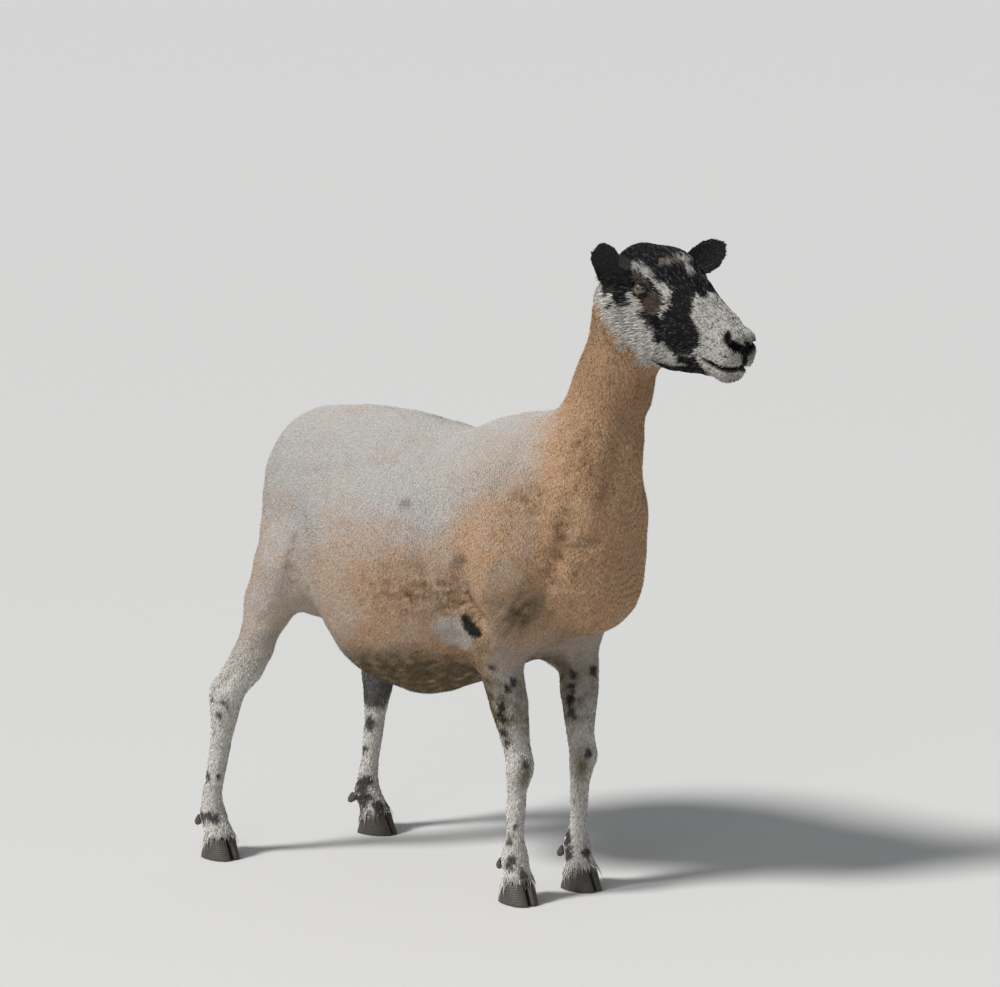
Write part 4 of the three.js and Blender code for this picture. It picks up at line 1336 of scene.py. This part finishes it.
# %% Size and lean of the tufts
# Metres, and radians for the lift off the skin. Face, ruff and hem add to the hair's value.
TUFT = {
    "length": {"wool": 0.0046, "hair": 0.0066, "ruff": 0.007, "hem": 0.024},
    "width": {"wool": 0.0013, "hair": 0.0013, "face": -0.0003, "ruff": 0.0005},
    "lift": {"wool": 0.62, "hair": 0.20, "ruff": 0.12, "hem": 0.40},
}
SWING = {"all": 0.16, "wool": 0.16, "ruff": 0.12}
LONGER_ON_FACE = 0.35  # behind the muzzle, and shorter by as much on the ears
MUZZLE = 60  # f where the muzzle's short hair begins
SOLE_GAP = 0.0008  # the hair over the hooves ends just above the floor
ROOT_DEPTH = 0.0008  # how deep a tuft's foot is set in the skin


def measure(name, at):
    """One measure of the tufts, mixed from the table by what grows at each place."""
    hair = TUFT[name]["hair"]
    for kind in ("face", "ruff", "hem"):
        hair = hair + TUFT[name].get(kind, 0) * at[kind]
    return TUFT[name]["wool"] * at["wool"] + (1 - at["wool"]) * hair


def swung_lie(roots, outward, at, dice):
    lie = lie_of_coat(roots, outward)
    aside = np.cross(outward, lie)
    spread = SWING["all"] + SWING["wool"] * at["wool"] + SWING["ruff"] * at["ruff"]
    return unit(lie + dice.normal(0, spread, len(roots))[:, None] * aside)


def leaned(roots, reach, lie, outward, lift):
    """Places at a reach from the roots, lifted off the skin by an angle."""
    return roots + reach[:, None] * (lie * np.cos(lift)[:, None] + outward * np.sin(lift)[:, None])


def tuft_points(roots, outward, at, bent, dice):
    """The points of every tuft, rings of three and then the tip, and their map offsets."""
    n = len(roots)
    length = measure("length", at) * dice.uniform(0.7, 1.25, n)
    width = measure("width", at) * dice.uniform(0.8, 1.2, n)
    behind_muzzle = (1 - at["ears"]) * (to_head(roots)[:, 0] < MUZZLE)
    length *= 1 + LONGER_ON_FACE * at["face"] * behind_muzzle - LONGER_ON_FACE * at["ears"]
    lift = measure("lift", at) * dice.uniform(0.5, 1.35, n)
    lie = swung_lie(roots, outward, at, dice)
    aside = np.cross(outward, lie)
    rise = unit(outward * np.cos(lift)[:, None] - lie * np.sin(lift)[:, None])
    tip = leaned(roots, length, lie, outward, 0.72 * lift)
    tip[:, 2] = np.maximum(tip[:, 2], SOLE_GAP)
    bend = dice.normal(0, 0.22, n) * length * at["wool"]
    middle = leaned(roots, 0.5 * length, lie, outward, lift) + bend[:, None] * aside
    rings = [(roots - ROOT_DEPTH * outward, 0.5, 0.0015), (middle, 0.40, 0.0008)]
    points, spread = [], []
    for middles, share, reach in rings[: 1 + bent]:
        for angle in (90, 210, 330):
            c, s = math.cos(math.radians(angle)), math.sin(math.radians(angle))
            points.append(middles + (share * width)[:, None] * (c * aside + s * rise))
            spread.append((reach * c, reach * s))
    return np.stack(points + [tip], axis=1), np.array(spread + [(0, 0)])


# %% Meshes of tufts


def tuft_corners(count, size):
    """The corner numbers of all faces of many tufts: a closed foot and three sides."""
    top = size - 4
    faces = [(0, 2, 1)]
    for i in range(3):
        j = (i + 1) % 3
        if top:
            faces += [(i, j, 3 + j), (i, 3 + j, 3 + i)]
        faces.append((top + i, top + j, size - 1))
    return (np.array(faces)[None] + size * np.arange(count)[:, None, None]).reshape(-1)


def build_mesh(name, points, corners, spots):
    mesh = bpy.data.meshes.new(name)
    mesh.vertices.add(len(points))
    mesh.vertices.foreach_set("co", points.reshape(-1))
    mesh.loops.add(len(corners))
    mesh.loops.foreach_set("vertex_index", corners)
    mesh.polygons.add(len(corners) // 3)
    mesh.polygons.foreach_set("loop_start", np.arange(0, len(corners), 3))
    mesh.update(calc_edges=True)
    mesh.validate()
    baked = mesh.uv_layers.new(name="OFBake")
    baked.data.foreach_set("uv", spots[corners].reshape(-1))
    mesh.shade_smooth()
    piece = bpy.data.objects.new(name, mesh)
    bpy.context.scene.collection.objects.link(piece)
    return piece


def tuft_shading_and_mottle(roots, marks, at, size, dice):
    """Brightness of every point: painted shade at the root and painted light at the tip, mottled
    where the wool is tan, and painted light and shade of the clumps and the comb's rows.
    """
    n, wool = len(roots), at["wool"]
    middles = size - 4
    height = np.tile([0.45] * 3 + [0.55] * middles + [0.65], n)
    on_face = np.tile([-0.25] * 3 + [0.0] * middles + [0.2], n)
    height += np.repeat(at["face"], size) * on_face
    grain = np.maximum(np.maximum(tan_wool(marks), dirt_and_shade(marks)), 1 - wool) ** 2
    grain = np.maximum(grain, 1.45 * ease(roots[:, 0], 0.16, 0.24)) + 0.4 * dirt_and_shade(marks)
    mottle = (0.03 + 0.17 * grain) * dice.normal(0, 1, n)
    # The clumps and the comb's rows are painted light and shade of the fleece's relief.
    clump_light_and_shade = (0.16 + 0.14 * wool) * waves(roots, 0.0060, 53) + 0.11 * waves(roots, 0.011, 54)
    rows = 0.26 * shear_rows(roots) * wool * wool
    return height + np.repeat(mottle + grain * (clump_light_and_shade + rows), size)


def tuft_mesh(name, roots, outward, maps, marks, seed, bent):
    """One coat piece: three-sided spikes, bent ones for hair, straight ones for wool."""
    dice = np.random.default_rng(seed)
    at = kinds_of_place(roots)
    points, spread = tuft_points(roots, outward, at, bent, dice)
    n, size = points.shape[:2]
    spots = (maps[:, None, :] + spread[None]).reshape(-1, 2)
    piece = build_mesh(name, points.reshape(-1, 3), tuft_corners(n, size), spots)
    # Some tufts get less black: grey hairs, and painted sheen on the black hair.
    store_pigments(piece, marks, size, 1 - 0.25 * dice.random(n) ** 6)
    store(piece, "height", tuft_shading_and_mottle(roots, marks, at, size, dice))
    return piece


# %% Coat pieces
SEED_OF_FIRST_PIECE = 100
BEHIND_SNOUT = 34  # f between the pieces of the head
HIND_END, THIGH_TOP = -0.25, 0.60
SLICE_EDGES = [HIND_END, -0.155, -0.065, 0.04, 0.14, 0.215, 1.0]
SLICE_NAMES = ["loin", "belly", "ribs", "elbow", "chest", "neck"]


def map_skin(piece):
    """Unwraps the skin, so that every root has a place on a flat map."""
    select_only(piece)
    bpy.ops.object.mode_set(mode="EDIT")
    bpy.ops.mesh.select_all(action="SELECT")
    bpy.ops.uv.smart_project(angle_limit=math.radians(66), island_margin=0.004)
    bpy.ops.object.mode_set(mode="OBJECT")


wool_material = hair_material("wool_tufts", 0.9, 1500.0, 0.2)
hair_coat_material = hair_material("hair_tufts", 0.7, 1500.0, 0.2)
map_skin(skin)
roots, outward, maps, marks = scatter(tuft_spacing, ROOT_SEED)
hairy = bare_skin_and_recess_shade(marks) < 0.5
roots, outward, maps, marks = roots[hairy], outward[hairy], maps[hairy], marks[hairy]
wool = wool_share(roots) > 0.5
on_head = ~wool & (beyond(roots, HEAD_SIDE) > 0)
snout = to_head(roots)[:, 0] > BEHIND_SNOUT
hind = wool & (roots[:, 0] < HIND_END)
groups = {
    "coat_snout": on_head & snout,
    "coat_crown": on_head & ~snout,
    "coat_legs": ~wool & ~on_head,
    "coat_rump": hind & (roots[:, 2] >= THIGH_TOP),
    "coat_thighs": hind & (roots[:, 2] < THIGH_TOP),
}
HAIR_PIECES = list(groups)[:3]
for low, high, name in zip(SLICE_EDGES[:-1], SLICE_EDGES[1:], SLICE_NAMES):
    groups["coat_" + name] = wool & (roots[:, 0] >= low) & (roots[:, 0] < high)
coat = []
for seed, (name, chosen) in enumerate(groups.items(), SEED_OF_FIRST_PIECE):
    rows = (part[chosen] for part in (roots, outward, maps, marks))
    piece = tuft_mesh(name, *rows, seed, name in HAIR_PIECES)
    piece.data.materials.append(hair_coat_material if name in HAIR_PIECES else wool_material)
    report(piece)
    coat.append(piece)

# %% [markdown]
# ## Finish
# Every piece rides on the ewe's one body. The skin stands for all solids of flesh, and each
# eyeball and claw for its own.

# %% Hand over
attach(skin, "root")
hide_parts("ear_left", "ear_right", "head", *BODY_NODES)
for piece in coat:
    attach(piece, "root")
for side, eye in eyes.items():
    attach(eye, "root")
    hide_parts("eye_" + side)
for node, claw in claws:
    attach(claw, "root")
    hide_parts(node)
